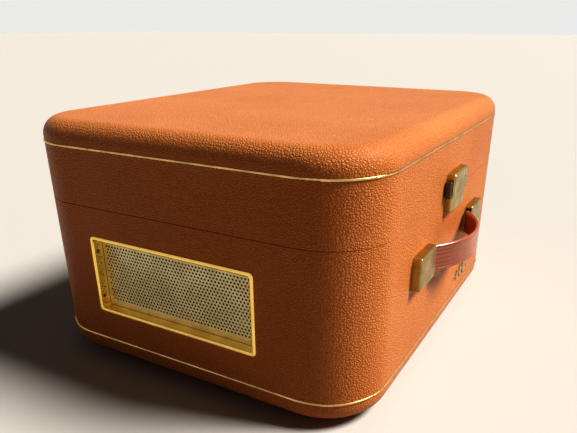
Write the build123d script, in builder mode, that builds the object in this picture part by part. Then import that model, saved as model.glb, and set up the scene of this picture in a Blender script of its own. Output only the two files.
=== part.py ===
"""Portable suitcase record player: a covered wooden case with a hinged lid, a drop-in turntable unit, an amplifier and a side speaker.

Millimetres. +X is to the right, +Y to the back and +Z up. The origin is the centre of the whole player's box, handle and
hinges included, at the level of the feet's undersides. Pieces are drawn about the centre of the case's footprint and move
to that origin when they are written. The lid is closed. Pieces are grouped as they come apart on a bench: case, lid,
hinges, latch, handle, speaker, deck, turntable, motor, tonearm, amplifier, fasteners.
"""

from build123d import *
from math import cos, radians, sin
import os

os.makedirs("parts", exist_ok=True)

# Case
case_width = 400.0
case_depth = 330.0
case_height = 214.0
base_height = 144.5
corner_radius = 54.0
top_roundover = 16.0
bottom_roundover = 14.0
wall = 7.0
floor_thickness = 8.0
lid_top_thickness = 6.0
lid_gap = 0.5
foot_height = 6.0

# Fits
slip = 0.3
run_fit = 0.05
free_gap = 0.5
sheet = 1.2

# Levels worked out from the case
case_bottom = foot_height
floor_top = case_bottom + floor_thickness
split_z = case_bottom + base_height
lid_bottom = split_z + lid_gap
case_top = case_bottom + case_height
front_y = -case_depth / 2
back_y = case_depth / 2
left_x = -case_width / 2

# Seam beads
bead_height = 1.9
bead_proud = 0.8
bead_depth = 1.4
groove_height = 2.3
lower_bead_z = case_bottom + 19.0
upper_bead_z = case_top - 20.0

# Rim tongue that the lid closes over
tongue_thickness = 3.0
tongue_rise = 5.0
tongue_clearance = 0.8

# Feet and the cover of the air vent
foot_radius = 10.0
foot_inset_x = 62.0
foot_inset_y = 60.0
foot_x = case_width / 2 - foot_inset_x
foot_y = case_depth / 2 - foot_inset_y
foot_screw_radius = 1.75
foot_screw_length = 7.0
vent_length = 130.0
vent_width = 36.0
vent_y = -112.0
vent_cover_margin = 9.0
vent_screw_radius = 1.5
vent_screw_x = vent_length / 2 + vent_cover_margin / 2

# Mains inlet
inlet_x = 96.0
inlet_z = case_bottom + 46.0
inlet_width = 34.0
inlet_height = 22.0
inlet_pin_radius = 2.0
inlet_pin_spacing = 19.0

# Speaker opening
bezel_length = 168.0
bezel_height = 72.0
bezel_y = 7.0
bezel_z = case_bottom + 83.2
rim_width = 3.6
rim_proud = 1.8
recess_depth = 9.0
tub_lip = 3.0
tub_floor = 1.0
tub_length = bezel_length - 2 * rim_width
tub_height = bezel_height - 2 * rim_width
tub_outer_length = tub_length + 2 * sheet
tub_outer_height = tub_height + 2 * sheet
pin_radius = 0.9
pin_depth = 2.2
pin_length = 5.0
pin_z = 21.5

# Hinges
hinge_x = 112.0
leaf_width = 38.0
leaf_height = 26.0
leaf_thickness = 1.5
knuckle_radius = 3.2
hinge_pin_radius = 1.6
knuckle_gap = 0.3
centre_knuckle = 13.0
hinge_y = back_y + knuckle_radius + slip
hinge_z = split_z + lid_gap / 2
wood_screw_radius = 1.5
hinge_screw_x = 12.0
hinge_screw_z = 16.0
wood_screw_length = 5.5

# Handle
handle_z = case_bottom + 99.0
bracket_length = 40.0
bracket_height = 29.5
bracket_depth = 8.0
bracket_inner_x = 62.0
bracket_middle_x = bracket_inner_x + bracket_length / 2
stud_radius = 2.0
stud_inset = 13.0
strap_height = 24.0
strap_thickness = 3.6
strap_bulge = 22.0
strap_tongue = 24.0
strap_tongue_height = 22.0
strap_y = front_y - bracket_depth / 2 + 0.3

# From the case's centre to the centre of the whole box, whose front is the strap and whose back is the hinges' knuckles
box_front = strap_y - strap_bulge - strap_thickness / 2
box_back = hinge_y + knuckle_radius
whole_shift = -(box_front + box_back) / 2

# Latch
latch_width = 46.0
latch_height = 20.5
latch_proud = 8.0
strike_drop = 15.0
strike_proud = 6.0

# Deck
deck_thickness = 6.0
deck_drop = 12.0
deck_top = split_z - deck_drop
deck_bottom = deck_top - deck_thickness
batten_height = 14.0
batten_width = 16.0
batten_length_x = 250.0
batten_length_y = 180.0
deck_screw_radius = 1.75
deck_screw_x = 110.0
deck_screw_y = 62.0
control_y = -126.0
control_spacing = 62.0
control_plate_length = 196.0
control_plate_width = 34.0
knob_radius = 12.5
knob_height = 12.0
knob_shaft_radius = 3.0
bush_radius = 5.0

# Turntable unit
unit_x = -20.0
unit_y = 22.0
unit_length = 320.0
unit_width = 232.0
unit_thickness = 1.5
unit_corner = 18.0
unit_overlap = 15.0
grommet_height = 2.0
unit_screw_inset = 8.0
unit_bottom = deck_top + grommet_height
unit_top = unit_bottom + unit_thickness
spindle_x = -50.0
spindle_y = 20.0
spindle_radius = 3.55
shaft_radius = 4.0
spindle_above_mat = 12.0
platter_radius = 111.0
platter_wall = 2.5
platter_bottom = unit_top + 3.5
platter_top = platter_bottom + 15.0
mat_thickness = 2.5
mat_top = platter_top + mat_thickness
hub_radius = 12.0
hub_bottom = unit_top + 8.0

# Idler drive: the tyre runs inside the platter's rim and against the motor's pulley
drive_angle = 60.0
drive_z = platter_bottom + 5.5
tyre_radius = 17.0
tyre_wall = 2.5
tyre_height = 4.0
drive_gap = 0.2
pulley_radius = 2.5
rim_inner_radius = platter_radius - platter_wall
idler_reach = rim_inner_radius - tyre_radius - drive_gap
pulley_reach = idler_reach - tyre_radius - pulley_radius - drive_gap
idler_x = spindle_x + idler_reach * cos(radians(drive_angle))
idler_y = spindle_y + idler_reach * sin(radians(drive_angle))
motor_x = spindle_x + pulley_reach * cos(radians(drive_angle))
motor_y = spindle_y + pulley_reach * sin(radians(drive_angle))
idler_pin_radius = 1.5

# Motor
core_length = 60.0
core_width = 50.0
core_height = 20.0
rotor_radius = 12.5
air_gap = 0.5
motor_shaft_radius = 2.0
bracket_plate = 1.5
motor_top = unit_bottom - 3.0
bracket_clear = 6.0
core_top = motor_top - bracket_plate - bracket_clear

# Tonearm
arm_x = 112.0
arm_y = 88.0
arm_reach = 188.0
arm_base_radius = 17.0
arm_base_height = 17.0
arm_z = unit_top + 33.0
arm_shaft_radius = 5.0
cheek_inner = 7.5
cheek_thickness = 2.5
pivot_pin_radius = 1.5
stylus_z = mat_top + 2.0
rest_y = -52.0

# Amplifier
amp_length = 230.0
amp_width = 56.0
amp_height = 34.0
amp_x = 24.0
amp_y = vent_y
amp_top = floor_top + amp_height


def case_outline(inset, mode=Mode.ADD):
    """The rounded outline of the case, taken in by a distance."""
    return RectangleRounded(
        case_width - 2 * inset, case_depth - 2 * inset, corner_radius - inset, mode=mode
    )


def outline_ring(z, outer_inset, inner_inset, height, mode=Mode.ADD):
    """A flat-sided band between two insets of the case's outline, standing on z, in the part being built."""
    with BuildSketch(Plane.XY.offset(z)) as ring:
        case_outline(outer_inset)
        case_outline(inner_inset, mode=Mode.SUBTRACT)
    extrude(ring.sketch, amount=height, mode=mode)


def write(piece, label):
    """Moves a finished piece to the whole player's origin, names it and writes its STEP file."""
    placed = piece.part.moved(Location((0, whole_shift, 0)))
    placed.label = label
    export_step(placed, f"parts/{label}.step")


def add_screws(places, axis, head_radius, head_height, shank_radius, shank_length):
    """Slotted screws in the part being built: a head stands on each place along the axis, its shank goes in against it."""
    for place in places:
        seat = Plane(origin=place, z_dir=axis)
        with BuildSketch(seat) as head:
            Circle(head_radius)
        extrude(head.sketch, amount=head_height)
        with BuildSketch(seat) as shank:
            Circle(shank_radius)
        extrude(shank.sketch, amount=-shank_length)
        with BuildSketch(seat.offset(head_height)) as slot:
            Rectangle(3 * head_radius, 0.3 * head_radius)
        extrude(slot.sketch, amount=-head_height / 2, mode=Mode.SUBTRACT)


# Places of the fasteners, which their holes share
foot_places = [(x, y) for x in (-foot_x, foot_x) for y in (-foot_y, foot_y)]
vent_screw_places = [(-vent_screw_x, vent_y), (vent_screw_x, vent_y)]
stud_places = [
    side * bracket_middle_x + offset for side in (-1, 1) for offset in (-stud_inset, stud_inset)
]
hinge_screw_places = [
    side * hinge_x + offset for side in (-1, 1) for offset in (-hinge_screw_x, hinge_screw_x)
]
deck_screw_front = front_y + wall + batten_width / 2
deck_screw_right = -left_x - wall - batten_width / 2
deck_screw_places = [
    (-deck_screw_x, deck_screw_front),
    (deck_screw_x, deck_screw_front),
    (-deck_screw_x, -deck_screw_front),
    (deck_screw_x, -deck_screw_front),
    (deck_screw_right, -deck_screw_y),
    (deck_screw_right, deck_screw_y),
]
unit_screw_places = [
    (
        unit_x + side * (unit_length / 2 - unit_screw_inset),
        unit_y + end * (unit_width / 2 - unit_screw_inset),
    )
    for side in (-1, 1)
    for end in (-1, 1)
]
baffle_screw_places = [
    (bezel_y + side * 86.5, bezel_z + end * 36.5) for side in (-1, 1) for end in (-1, 1)
]
bezel_pin_places = [
    (side, bezel_z + end * pin_z) for side in (-1, 1) for end in (-1, 1)
]
control_places = [(-control_spacing, control_y), (control_spacing, control_y)]

# ============================================================ CASE

# Wooden tub, with glued-in battens that carry the deck
with BuildPart() as base_shell:
    with BuildSketch(Plane.XY.offset(case_bottom)):
        case_outline(0)
    extrude(amount=base_height)
    fillet(base_shell.faces().sort_by(Axis.Z)[0].edges(), bottom_roundover)
    with BuildSketch(Plane.XY.offset(floor_top)):
        case_outline(wall)
    extrude(amount=base_height, mode=Mode.SUBTRACT)
    with BuildSketch(Plane.XY.offset(deck_bottom)):
        with Locations((0, deck_screw_front), (0, -deck_screw_front)):
            Rectangle(batten_length_x, batten_width)
        with Locations((deck_screw_right, 0)):
            Rectangle(batten_width, batten_length_y)
    extrude(amount=-batten_height)
    outline_ring(
        lower_bead_z - groove_height / 2, -1, bead_depth, groove_height, mode=Mode.SUBTRACT
    )
    with BuildSketch(Plane.YZ.offset(left_x)):
        with Locations((bezel_y, bezel_z)):
            Rectangle(tub_outer_length + 2 * slip, tub_outer_height + 2 * slip)
    extrude(amount=wall + 1, mode=Mode.SUBTRACT)
    for side, z in bezel_pin_places:
        pin_seat = Plane(origin=(left_x + pin_depth, bezel_y, z), z_dir=(0, side, 0))
        with BuildSketch(pin_seat):
            Circle(pin_radius)
        extrude(amount=tub_length / 2 + pin_length, mode=Mode.SUBTRACT)
    with BuildSketch(Plane.XY.offset(case_bottom)):
        with Locations((0, vent_y)):
            RectangleRounded(vent_length, vent_width, 6)
        with Locations(*foot_places):
            Circle(foot_screw_radius)
        with Locations(*vent_screw_places):
            Circle(vent_screw_radius)
    extrude(amount=floor_thickness, mode=Mode.SUBTRACT)
    with BuildSketch(Plane.XZ.offset(-back_y)):
        with Locations((inlet_x, inlet_z)):
            RectangleRounded(inlet_width + 2 * slip, inlet_height + 2 * slip, 4)
    extrude(amount=wall, mode=Mode.SUBTRACT)
    with BuildSketch(Plane.XZ.offset(-front_y)):
        with Locations(*[(x, handle_z) for x in stud_places]):
            Circle(stud_radius)
    extrude(amount=-wall, mode=Mode.SUBTRACT)
    with BuildSketch(Plane.XZ.offset(-back_y)):
        with Locations(*[(x, hinge_z - hinge_screw_z) for x in hinge_screw_places]):
            Circle(wood_screw_radius)
    extrude(amount=wood_screw_length, mode=Mode.SUBTRACT)
    with BuildSketch(Plane.YZ.offset(left_x + wall)):
        with Locations(*baffle_screw_places):
            Circle(wood_screw_radius)
    extrude(amount=-wood_screw_length, mode=Mode.SUBTRACT)
    with BuildSketch(Plane.XY.offset(deck_bottom)):
        with Locations(*deck_screw_places):
            Circle(deck_screw_radius)
    extrude(amount=-batten_height, mode=Mode.SUBTRACT)
write(base_shell, "base_shell")

# Half-round brass bead in the lower seam
with BuildPart() as base_bead:
    outline_ring(lower_bead_z - bead_height / 2, -bead_proud, bead_depth, bead_height)
    fillet(
        base_bead.faces().sort_by(Axis.Z)[-1].outer_wire().edges()
        + base_bead.faces().sort_by(Axis.Z)[0].outer_wire().edges(),
        0.45 * bead_height,
    )
write(base_bead, "base_bead")

# Metal tongue inside the base's rim, which lines the lid up
with BuildPart() as rim_tongue:
    tongue_inset = wall + tongue_clearance
    outline_ring(deck_top + free_gap, wall, tongue_inset + tongue_thickness, split_z - deck_top - 1)
    outline_ring(
        deck_top + free_gap,
        tongue_inset,
        tongue_inset + tongue_thickness,
        split_z - deck_top + tongue_rise,
    )
    fillet(rim_tongue.faces().sort_by(Axis.Z)[-1].edges(), 0.8)
write(rim_tongue, "rim_tongue")

# Rubber feet, each round a sunk screw
with BuildPart() as rubber_feet:
    with BuildSketch():
        with Locations(*foot_places):
            Circle(foot_radius)
    extrude(amount=foot_height, taper=-6)
    with BuildSketch():
        with Locations(*foot_places):
            Circle(5)
    extrude(amount=foot_height / 2, mode=Mode.SUBTRACT)
    with BuildSketch():
        with Locations(*foot_places):
            Circle(foot_screw_radius)
    extrude(amount=foot_height, mode=Mode.SUBTRACT)
write(rubber_feet, "rubber_feet")

# Slotted steel cover over the amplifier's air vent
with BuildPart() as vent_cover:
    with BuildSketch(Plane.XY.offset(case_bottom)):
        with Locations((0, vent_y)):
            RectangleRounded(
                vent_length + 2 * vent_cover_margin, vent_width + vent_cover_margin, 5
            )
            with GridLocations(14, 1, 9, 1):
                SlotOverall(vent_width - 8, 5, rotation=90, mode=Mode.SUBTRACT)
        with Locations(*vent_screw_places):
            Circle(vent_screw_radius, mode=Mode.SUBTRACT)
    extrude(amount=-sheet)
write(vent_cover, "vent_cover")

# Moulded mains inlet in the back wall, and its two contact pins
inlet_depth = 17.0
with BuildPart() as mains_inlet:
    with BuildSketch(Plane.XZ.offset(-back_y)):
        with Locations((inlet_x, inlet_z)):
            RectangleRounded(inlet_width + 10, inlet_height + 10, 5)
    extrude(amount=-2)
    with BuildSketch(Plane.XZ.offset(-back_y)):
        with Locations((inlet_x, inlet_z)):
            RectangleRounded(inlet_width, inlet_height, 4)
    extrude(amount=inlet_depth + 3)
    with BuildSketch(Plane.XZ.offset(-back_y - 2)):
        with Locations((inlet_x, inlet_z)):
            RectangleRounded(inlet_width - 4, inlet_height - 4, 3)
    extrude(amount=inlet_depth + 2, mode=Mode.SUBTRACT)
    with BuildSketch(Plane.XZ.offset(-back_y)):
        with Locations((inlet_x, inlet_z)):
            with GridLocations(inlet_pin_spacing, 1, 2, 1):
                Circle(inlet_pin_radius)
    extrude(amount=inlet_depth + 3, mode=Mode.SUBTRACT)
write(mains_inlet, "mains_inlet")

with BuildPart() as mains_inlet_pins:
    with BuildSketch(Plane.XZ.offset(-back_y)):
        with Locations((inlet_x, inlet_z)):
            with GridLocations(inlet_pin_spacing, 1, 2, 1):
                Circle(inlet_pin_radius)
    extrude(amount=inlet_depth + 8)
    fillet(mains_inlet_pins.faces().sort_by(Axis.Y)[-2:].edges(), 1.2)
write(mains_inlet_pins, "mains_inlet_pins")

# ============================================================ LID

with BuildPart() as lid_shell:
    with BuildSketch(Plane.XY.offset(lid_bottom)):
        case_outline(0)
    extrude(amount=case_top - lid_bottom)
    fillet(lid_shell.faces().sort_by(Axis.Z)[-1].edges(), top_roundover)
    with BuildSketch(Plane.XY.offset(lid_bottom)):
        case_outline(wall)
    extrude(amount=case_top - lid_top_thickness - lid_bottom, mode=Mode.SUBTRACT)
    inner_ceiling = lid_shell.faces().filter_by(Axis.Z).sort_by(Axis.Z)[-2]
    fillet(inner_ceiling.edges(), top_roundover - wall)
    outline_ring(
        upper_bead_z - groove_height / 2, -1, bead_depth, groove_height, mode=Mode.SUBTRACT
    )
    with BuildSketch(Plane.XZ.offset(-back_y)):
        with Locations(*[(x, hinge_z + hinge_screw_z) for x in hinge_screw_places]):
            Circle(wood_screw_radius)
    extrude(amount=wood_screw_length, mode=Mode.SUBTRACT)
write(lid_shell, "lid_shell")

with BuildPart() as lid_bead:
    outline_ring(upper_bead_z - bead_height / 2, -bead_proud, bead_depth, bead_height)
    fillet(
        lid_bead.faces().sort_by(Axis.Z)[-1].outer_wire().edges()
        + lid_bead.faces().sort_by(Axis.Z)[0].outer_wire().edges(),
        0.45 * bead_height,
    )
write(lid_bead, "lid_bead")

# Card lining glued under the lid's top
with BuildPart() as lid_lining:
    with BuildSketch(Plane.XY.offset(case_top - lid_top_thickness)):
        case_outline(top_roundover + 1)
    extrude(amount=-sheet)
write(lid_lining, "lid_lining")

# ============================================================ HINGES


def hinge_leaves(up, knuckles):
    """Both hinges' leaves on one side of the pin: up is 1 for the lid's and -1 for the base's, which hold the pins.

    Knuckles are given as (middle, length) along the pin.
    """
    with BuildPart() as leaves:
        for side in (-1, 1):
            leaf_middle = hinge_z + up * (lid_gap / 2 + leaf_height / 2)
            with BuildSketch(Plane.XZ.offset(-back_y)):
                with Locations((side * hinge_x, leaf_middle)):
                    RectangleRounded(leaf_width, leaf_height, 2)
                with Locations(*[(x, hinge_z + up * hinge_screw_z) for x in hinge_screw_places]):
                    Circle(wood_screw_radius, mode=Mode.SUBTRACT)
            extrude(amount=-leaf_thickness)
        with BuildSketch(Plane.XZ.offset(-back_y)):
            with Locations(*[(side * hinge_x, hinge_z) for side in (-1, 1)]):
                Rectangle(leaf_width + 2, 2 * (knuckle_radius + slip))
        extrude(amount=-leaf_thickness, mode=Mode.SUBTRACT)
        for side in (-1, 1):
            for middle, length in knuckles:
                start = side * hinge_x + middle - length / 2
                with BuildSketch(Plane.YZ.offset(start)):
                    with Locations((hinge_y, hinge_z)):
                        Circle(knuckle_radius)
                    with Locations((back_y + leaf_thickness / 2, hinge_z + up * 2.5)):
                        Rectangle(leaf_thickness, 5)
                extrude(amount=length)
        with BuildSketch(Plane.YZ.offset(-hinge_x - leaf_width)):
            with Locations((hinge_y, hinge_z)):
                Circle(hinge_pin_radius + run_fit)
        extrude(amount=2 * (hinge_x + leaf_width), mode=Mode.SUBTRACT)
        if up < 0:
            for side in (-1, 1):
                with BuildSketch(Plane.YZ.offset(side * hinge_x - leaf_width / 2)):
                    with Locations((hinge_y, hinge_z)):
                        Circle(hinge_pin_radius)
                extrude(amount=leaf_width)
                for end in (-1, 1):
                    with BuildSketch(Plane.YZ.offset(side * hinge_x + end * leaf_width / 2)):
                        with Locations((hinge_y, hinge_z)):
                            Circle(0.8 * knuckle_radius)
                    extrude(amount=-end * 1.5)
    return leaves


outer_knuckle = (leaf_width - centre_knuckle) / 2 - knuckle_gap
outer_middle = (leaf_width - outer_knuckle) / 2
hinge_base_leaves = hinge_leaves(
    -1, [(-outer_middle, outer_knuckle), (outer_middle, outer_knuckle)]
)
write(hinge_base_leaves, "hinge_base_leaves")
hinge_lid_leaves = hinge_leaves(1, [(0, centre_knuckle)])
write(hinge_lid_leaves, "hinge_lid_leaves")

with BuildPart() as hinge_lid_screws:
    add_screws(
        [(x, back_y + leaf_thickness, hinge_z + hinge_screw_z) for x in hinge_screw_places],
        (0, 1, 0),
        2.8,
        1.3,
        wood_screw_radius,
        leaf_thickness + wood_screw_length,
    )
write(hinge_lid_screws, "hinge_lid_screws")

# ============================================================ LATCH

latch_bottom = lid_bottom
button_travel = 2.0
button_height = 14.0
button_reach = 3.4
stem_height = 7.0
jaw_inner_x = 11.0

# Hollow brass case on the lid, open at the back and underneath
with BuildPart() as latch_case:
    with BuildSketch(Plane.XZ.offset(-front_y)):
        with Locations((0, latch_bottom + latch_height / 2)):
            RectangleRounded(latch_width, latch_height, 3.5)
        with Locations((0, latch_bottom + 2)):
            Rectangle(latch_width, 4)
    extrude(amount=latch_proud)
    chamfer(
        latch_case.faces().sort_by(Axis.Y)[0].edges().sort_by(Axis.Z)[1:],
        1.4,
    )
    with BuildSketch(Plane.XZ.offset(-front_y)):
        with Locations((0, latch_bottom + (latch_height - sheet) / 2)):
            Rectangle(latch_width - 2 * sheet - 1, latch_height - sheet)
    extrude(amount=latch_proud - sheet - 0.6, mode=Mode.SUBTRACT)
    with BuildSketch(Plane.YZ.offset(-latch_width)):
        with Locations((front_y - latch_proud / 2 + 1, latch_bottom + button_height / 2)):
            Rectangle(3 + 2 * slip, stem_height + 2 * slip)
    extrude(amount=2 * latch_width, mode=Mode.SUBTRACT)
    with BuildSketch(Plane.XZ.offset(-front_y + latch_proud)):
        with Locations((latch_width / 4, latch_bottom + 0.62 * latch_height)):
            Circle(1.2)
        with Locations((latch_width / 4, latch_bottom + 0.62 * latch_height - 2)):
            Rectangle(1.1, 4)
    extrude(amount=-2 * sheet, mode=Mode.SUBTRACT)
write(latch_case, "latch_case")


def latch_button(side):
    """A squeeze button beside the latch case, with the stem that draws its jaw."""
    with BuildPart() as button:
        with BuildSketch(Plane.XY.offset(latch_bottom + free_gap)):
            with Locations(
                (
                    side * (latch_width / 2 + button_travel + slip + button_reach / 2),
                    front_y - latch_proud / 2 + 0.6,
                )
            ):
                RectangleRounded(button_reach, latch_proud - 2, 1.5)
        extrude(amount=button_height)
        fillet(button.faces().sort_by(Axis.Z)[-1].edges(), 1.2)
        stem_end = latch_width / 2 + button_travel + slip + button_reach / 2
        with BuildSketch(Plane.YZ.offset(side * jaw_inner_x)):
            with Locations((front_y - latch_proud / 2 + 1, latch_bottom + button_height / 2)):
                Rectangle(3, stem_height)
        extrude(amount=side * (stem_end - jaw_inner_x))
    return button


for name, side in (("latch_button_left", -1), ("latch_button_right", 1)):
    write(latch_button(side), name)

# Strike on the base, with the hook that stands up inside the latch case
with BuildPart() as latch_strike:
    with BuildSketch(Plane.XZ.offset(-front_y)):
        with Locations((0, split_z - strike_drop / 2)):
            RectangleRounded(latch_width - 2, strike_drop, 2.5)
    extrude(amount=strike_proud)
    chamfer(latch_strike.faces().sort_by(Axis.Y)[0].edges(), 1.2)
    with BuildSketch(Plane.XZ.offset(-front_y + 2.2)):
        with Locations((0, split_z + 3)):
            Rectangle(12, 13)
        with Locations((0, split_z + 8)):
            Rectangle(15, 3)
    extrude(amount=2.4)
write(latch_strike, "latch_strike")

# ============================================================ HANDLE


def handle_bracket(side):
    """A folded brass cover over one end of the strap, open towards the middle, on two studs."""
    with BuildPart() as bracket:
        with BuildSketch(Plane.XZ.offset(-front_y)):
            with Locations((side * bracket_middle_x, handle_z)):
                RectangleRounded(bracket_length, bracket_height, 2)
        extrude(amount=bracket_depth)
        fillet(bracket.faces().sort_by(Axis.Y)[0].edges(), 1.5)
        with BuildSketch(Plane.YZ.offset(side * (bracket_inner_x - 1))):
            with Locations((front_y - bracket_depth / 2, handle_z)):
                Rectangle(bracket_depth - 2 * sheet, bracket_height - 2 * sheet - 1)
        extrude(amount=side * (bracket_length - sheet), mode=Mode.SUBTRACT)
        with BuildSketch(Plane.XZ.offset(-front_y)):
            with Locations(*[(x, handle_z) for x in stud_places]):
                Circle(stud_radius)
        extrude(amount=sheet, mode=Mode.SUBTRACT)
    return bracket


for name, side in (("handle_bracket_left", -1), ("handle_bracket_right", 1)):
    write(handle_bracket(side), name)

# Leather strap: straight tongues in the brackets, and an arc that bulges out between them
arc_radius = (bracket_inner_x**2 + strap_bulge**2) / (2 * strap_bulge)
arc_centre_y = strap_y - strap_bulge + arc_radius
with BuildPart() as handle_strap:
    with BuildSketch(Plane.XY.offset(handle_z - strap_height / 2)):
        with BuildLine():
            outer = strap_thickness / 2
            ThreePointArc(
                (-bracket_inner_x + 2.5, strap_y - outer),
                (0, strap_y - strap_bulge - outer),
                (bracket_inner_x - 2.5, strap_y - outer),
            )
            Line((bracket_inner_x - 2.5, strap_y - outer), (bracket_inner_x - 1.5, strap_y + outer))
            ThreePointArc(
                (bracket_inner_x - 1.5, strap_y + outer),
                (0, strap_y - strap_bulge + outer),
                (-bracket_inner_x + 1.5, strap_y + outer),
            )
            Line((-bracket_inner_x + 1.5, strap_y + outer), (-bracket_inner_x + 2.5, strap_y - outer))
        make_face()
    extrude(amount=strap_height)
    with BuildSketch(Plane.XY.offset(handle_z - strap_tongue_height / 2)):
        for side in (-1, 1):
            with Locations((side * (bracket_inner_x + strap_tongue / 2 - 4), strap_y)):
                Rectangle(strap_tongue + 4, 0.72 * strap_thickness)
    extrude(amount=strap_tongue_height)
write(handle_strap, "handle_strap")

# Plain brass ornament pinned below the handle: a bar with a lozenge on its middle
badge_x, badge_z = 82.0, case_bottom + 41.0
badge_length = 80.0
badge_lozenge = 11.0
badge_rise = 6
with BuildPart() as badge:
    with BuildSketch(Plane.XZ.offset(-front_y)):
        with Locations((badge_x, badge_z)):
            SlotOverall(badge_length, 7, rotation=badge_rise)
            RegularPolygon(badge_lozenge, 4, rotation=badge_rise)
    extrude(amount=1.8)
    fillet(badge.faces().sort_by(Axis.Y)[0].edges(), 0.6)
write(badge, "badge")

# ============================================================ SPEAKER

with BuildPart() as speaker_bezel:
    with BuildSketch(Plane.YZ.offset(left_x - rim_proud)):
        with Locations((bezel_y, bezel_z)):
            RectangleRounded(bezel_length, bezel_height, 4)
    extrude(amount=rim_proud)
    with BuildSketch(Plane.YZ.offset(left_x)):
        with Locations((bezel_y, bezel_z)):
            RectangleRounded(tub_outer_length, tub_outer_height, 3)
    extrude(amount=recess_depth + tub_floor)
    with BuildSketch(Plane.YZ.offset(left_x - rim_proud)):
        with Locations((bezel_y, bezel_z)):
            RectangleRounded(tub_length, tub_height, 2)
    extrude(amount=rim_proud + recess_depth, mode=Mode.SUBTRACT)
    with BuildSketch(Plane.YZ.offset(left_x + recess_depth)):
        with Locations((bezel_y, bezel_z)):
            RectangleRounded(tub_length - 2 * tub_lip, tub_height - 2 * tub_lip, 2)
    extrude(amount=tub_floor, mode=Mode.SUBTRACT)
    fillet(speaker_bezel.faces().sort_by(Axis.X)[0].edges(), 1.4)
    for side, z in bezel_pin_places:
        pin_seat = Plane(origin=(left_x + pin_depth, bezel_y, z), z_dir=(0, side, 0))
        with BuildSketch(pin_seat):
            Circle(pin_radius)
        extrude(amount=bezel_length / 2, mode=Mode.SUBTRACT)
write(speaker_bezel, "speaker_bezel")

with BuildPart() as bezel_pins:
    for side, z in bezel_pin_places:
        inner_wall = (left_x + pin_depth, bezel_y + side * tub_length / 2, z)
        with BuildSketch(Plane(origin=inner_wall, z_dir=(0, side, 0))):
            Circle(pin_radius)
        extrude(amount=pin_length)
        with BuildSketch(Plane(origin=inner_wall, z_dir=(0, -side, 0))):
            Circle(1.6)
        extrude(amount=0.5)
write(bezel_pins, "bezel_pins")

# Perforated brass sheet, holes in staggered rows
grille_pitch = 3.4
grille_hole_radius = 0.95
grille_columns = 45
grille_rows = 9
grille_thickness = 0.8
with BuildPart() as speaker_grille:
    row_step = grille_pitch * 0.866
    with BuildSketch(Plane.YZ.offset(left_x + recess_depth - grille_thickness)):
        with Locations((bezel_y, bezel_z)):
            RectangleRounded(tub_length - 2 * slip, tub_height - 2 * slip, 2)
        for shift in (-1, 1):
            with Locations((bezel_y + shift * grille_pitch / 4, bezel_z + shift * row_step / 2)):
                with GridLocations(grille_pitch, 2 * row_step, grille_columns, grille_rows):
                    Circle(grille_hole_radius, mode=Mode.SUBTRACT)
    extrude(amount=grille_thickness)
write(speaker_grille, "speaker_grille")

# Wooden baffle between the wall and the speaker
baffle_length = 184.0
baffle_height = 84.0
baffle_thickness = 8.0
baffle_x = left_x + wall
cone_length = 128.0
cone_height = 58.0
with BuildPart() as speaker_baffle:
    with BuildSketch(Plane.YZ.offset(baffle_x)):
        with Locations((bezel_y, bezel_z)):
            RectangleRounded(baffle_length, baffle_height, 4)
            RectangleRounded(cone_length + 8, cone_height + 2, 28, mode=Mode.SUBTRACT)
        with Locations(*baffle_screw_places):
            Circle(wood_screw_radius, mode=Mode.SUBTRACT)
    extrude(amount=baffle_thickness)
    with BuildSketch(Plane.YZ.offset(baffle_x)):
        with Locations((bezel_y, bezel_z)):
            Rectangle(tub_outer_length + 2 * slip, tub_outer_height + 2 * slip)
    extrude(amount=recess_depth + tub_floor - wall + slip, mode=Mode.SUBTRACT)
write(speaker_baffle, "speaker_baffle")

# Pressed speaker basket
basket_x = baffle_x + baffle_thickness
basket_depth = 32.0
basket_rear_radius = 27.0
with BuildPart() as speaker_basket:
    with BuildSketch(Plane.YZ.offset(basket_x + sheet)):
        with Locations((bezel_y, bezel_z)):
            Ellipse(cone_length / 2 + 6, cone_height / 2 + 5)
    with BuildSketch(Plane.YZ.offset(basket_x + basket_depth)):
        with Locations((bezel_y, bezel_z)):
            Circle(basket_rear_radius)
    loft()
    with BuildSketch(Plane.YZ.offset(basket_x + sheet)):
        with Locations((bezel_y, bezel_z)):
            Ellipse(cone_length / 2 + 4.5, cone_height / 2 + 3.5)
    with BuildSketch(Plane.YZ.offset(basket_x + basket_depth - sheet)):
        with Locations((bezel_y, bezel_z)):
            Circle(basket_rear_radius - 1.5)
    loft(mode=Mode.SUBTRACT)
    with BuildSketch(Plane.YZ.offset(basket_x)):
        with Locations((bezel_y, bezel_z)):
            RectangleRounded(cone_length + 22, cone_height + 22, 30)
            Ellipse(cone_length / 2 + 4.5, cone_height / 2 + 3.5, mode=Mode.SUBTRACT)
    extrude(amount=sheet)
    with BuildSketch(Plane.YZ.offset(basket_x + basket_depth - sheet - 1)):
        with Locations((bezel_y, bezel_z)):
            Circle(14)
    extrude(amount=sheet + 2, mode=Mode.SUBTRACT)
    for angle in (0, 180):
        window_plane = Plane(origin=(basket_x + 17, bezel_y, bezel_z), z_dir=(0, cos(radians(angle)), 0))
        with BuildSketch(window_plane):
            RectangleRounded(16, 22, 3)
        extrude(amount=cone_length, mode=Mode.SUBTRACT)
write(speaker_basket, "speaker_basket")

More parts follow.
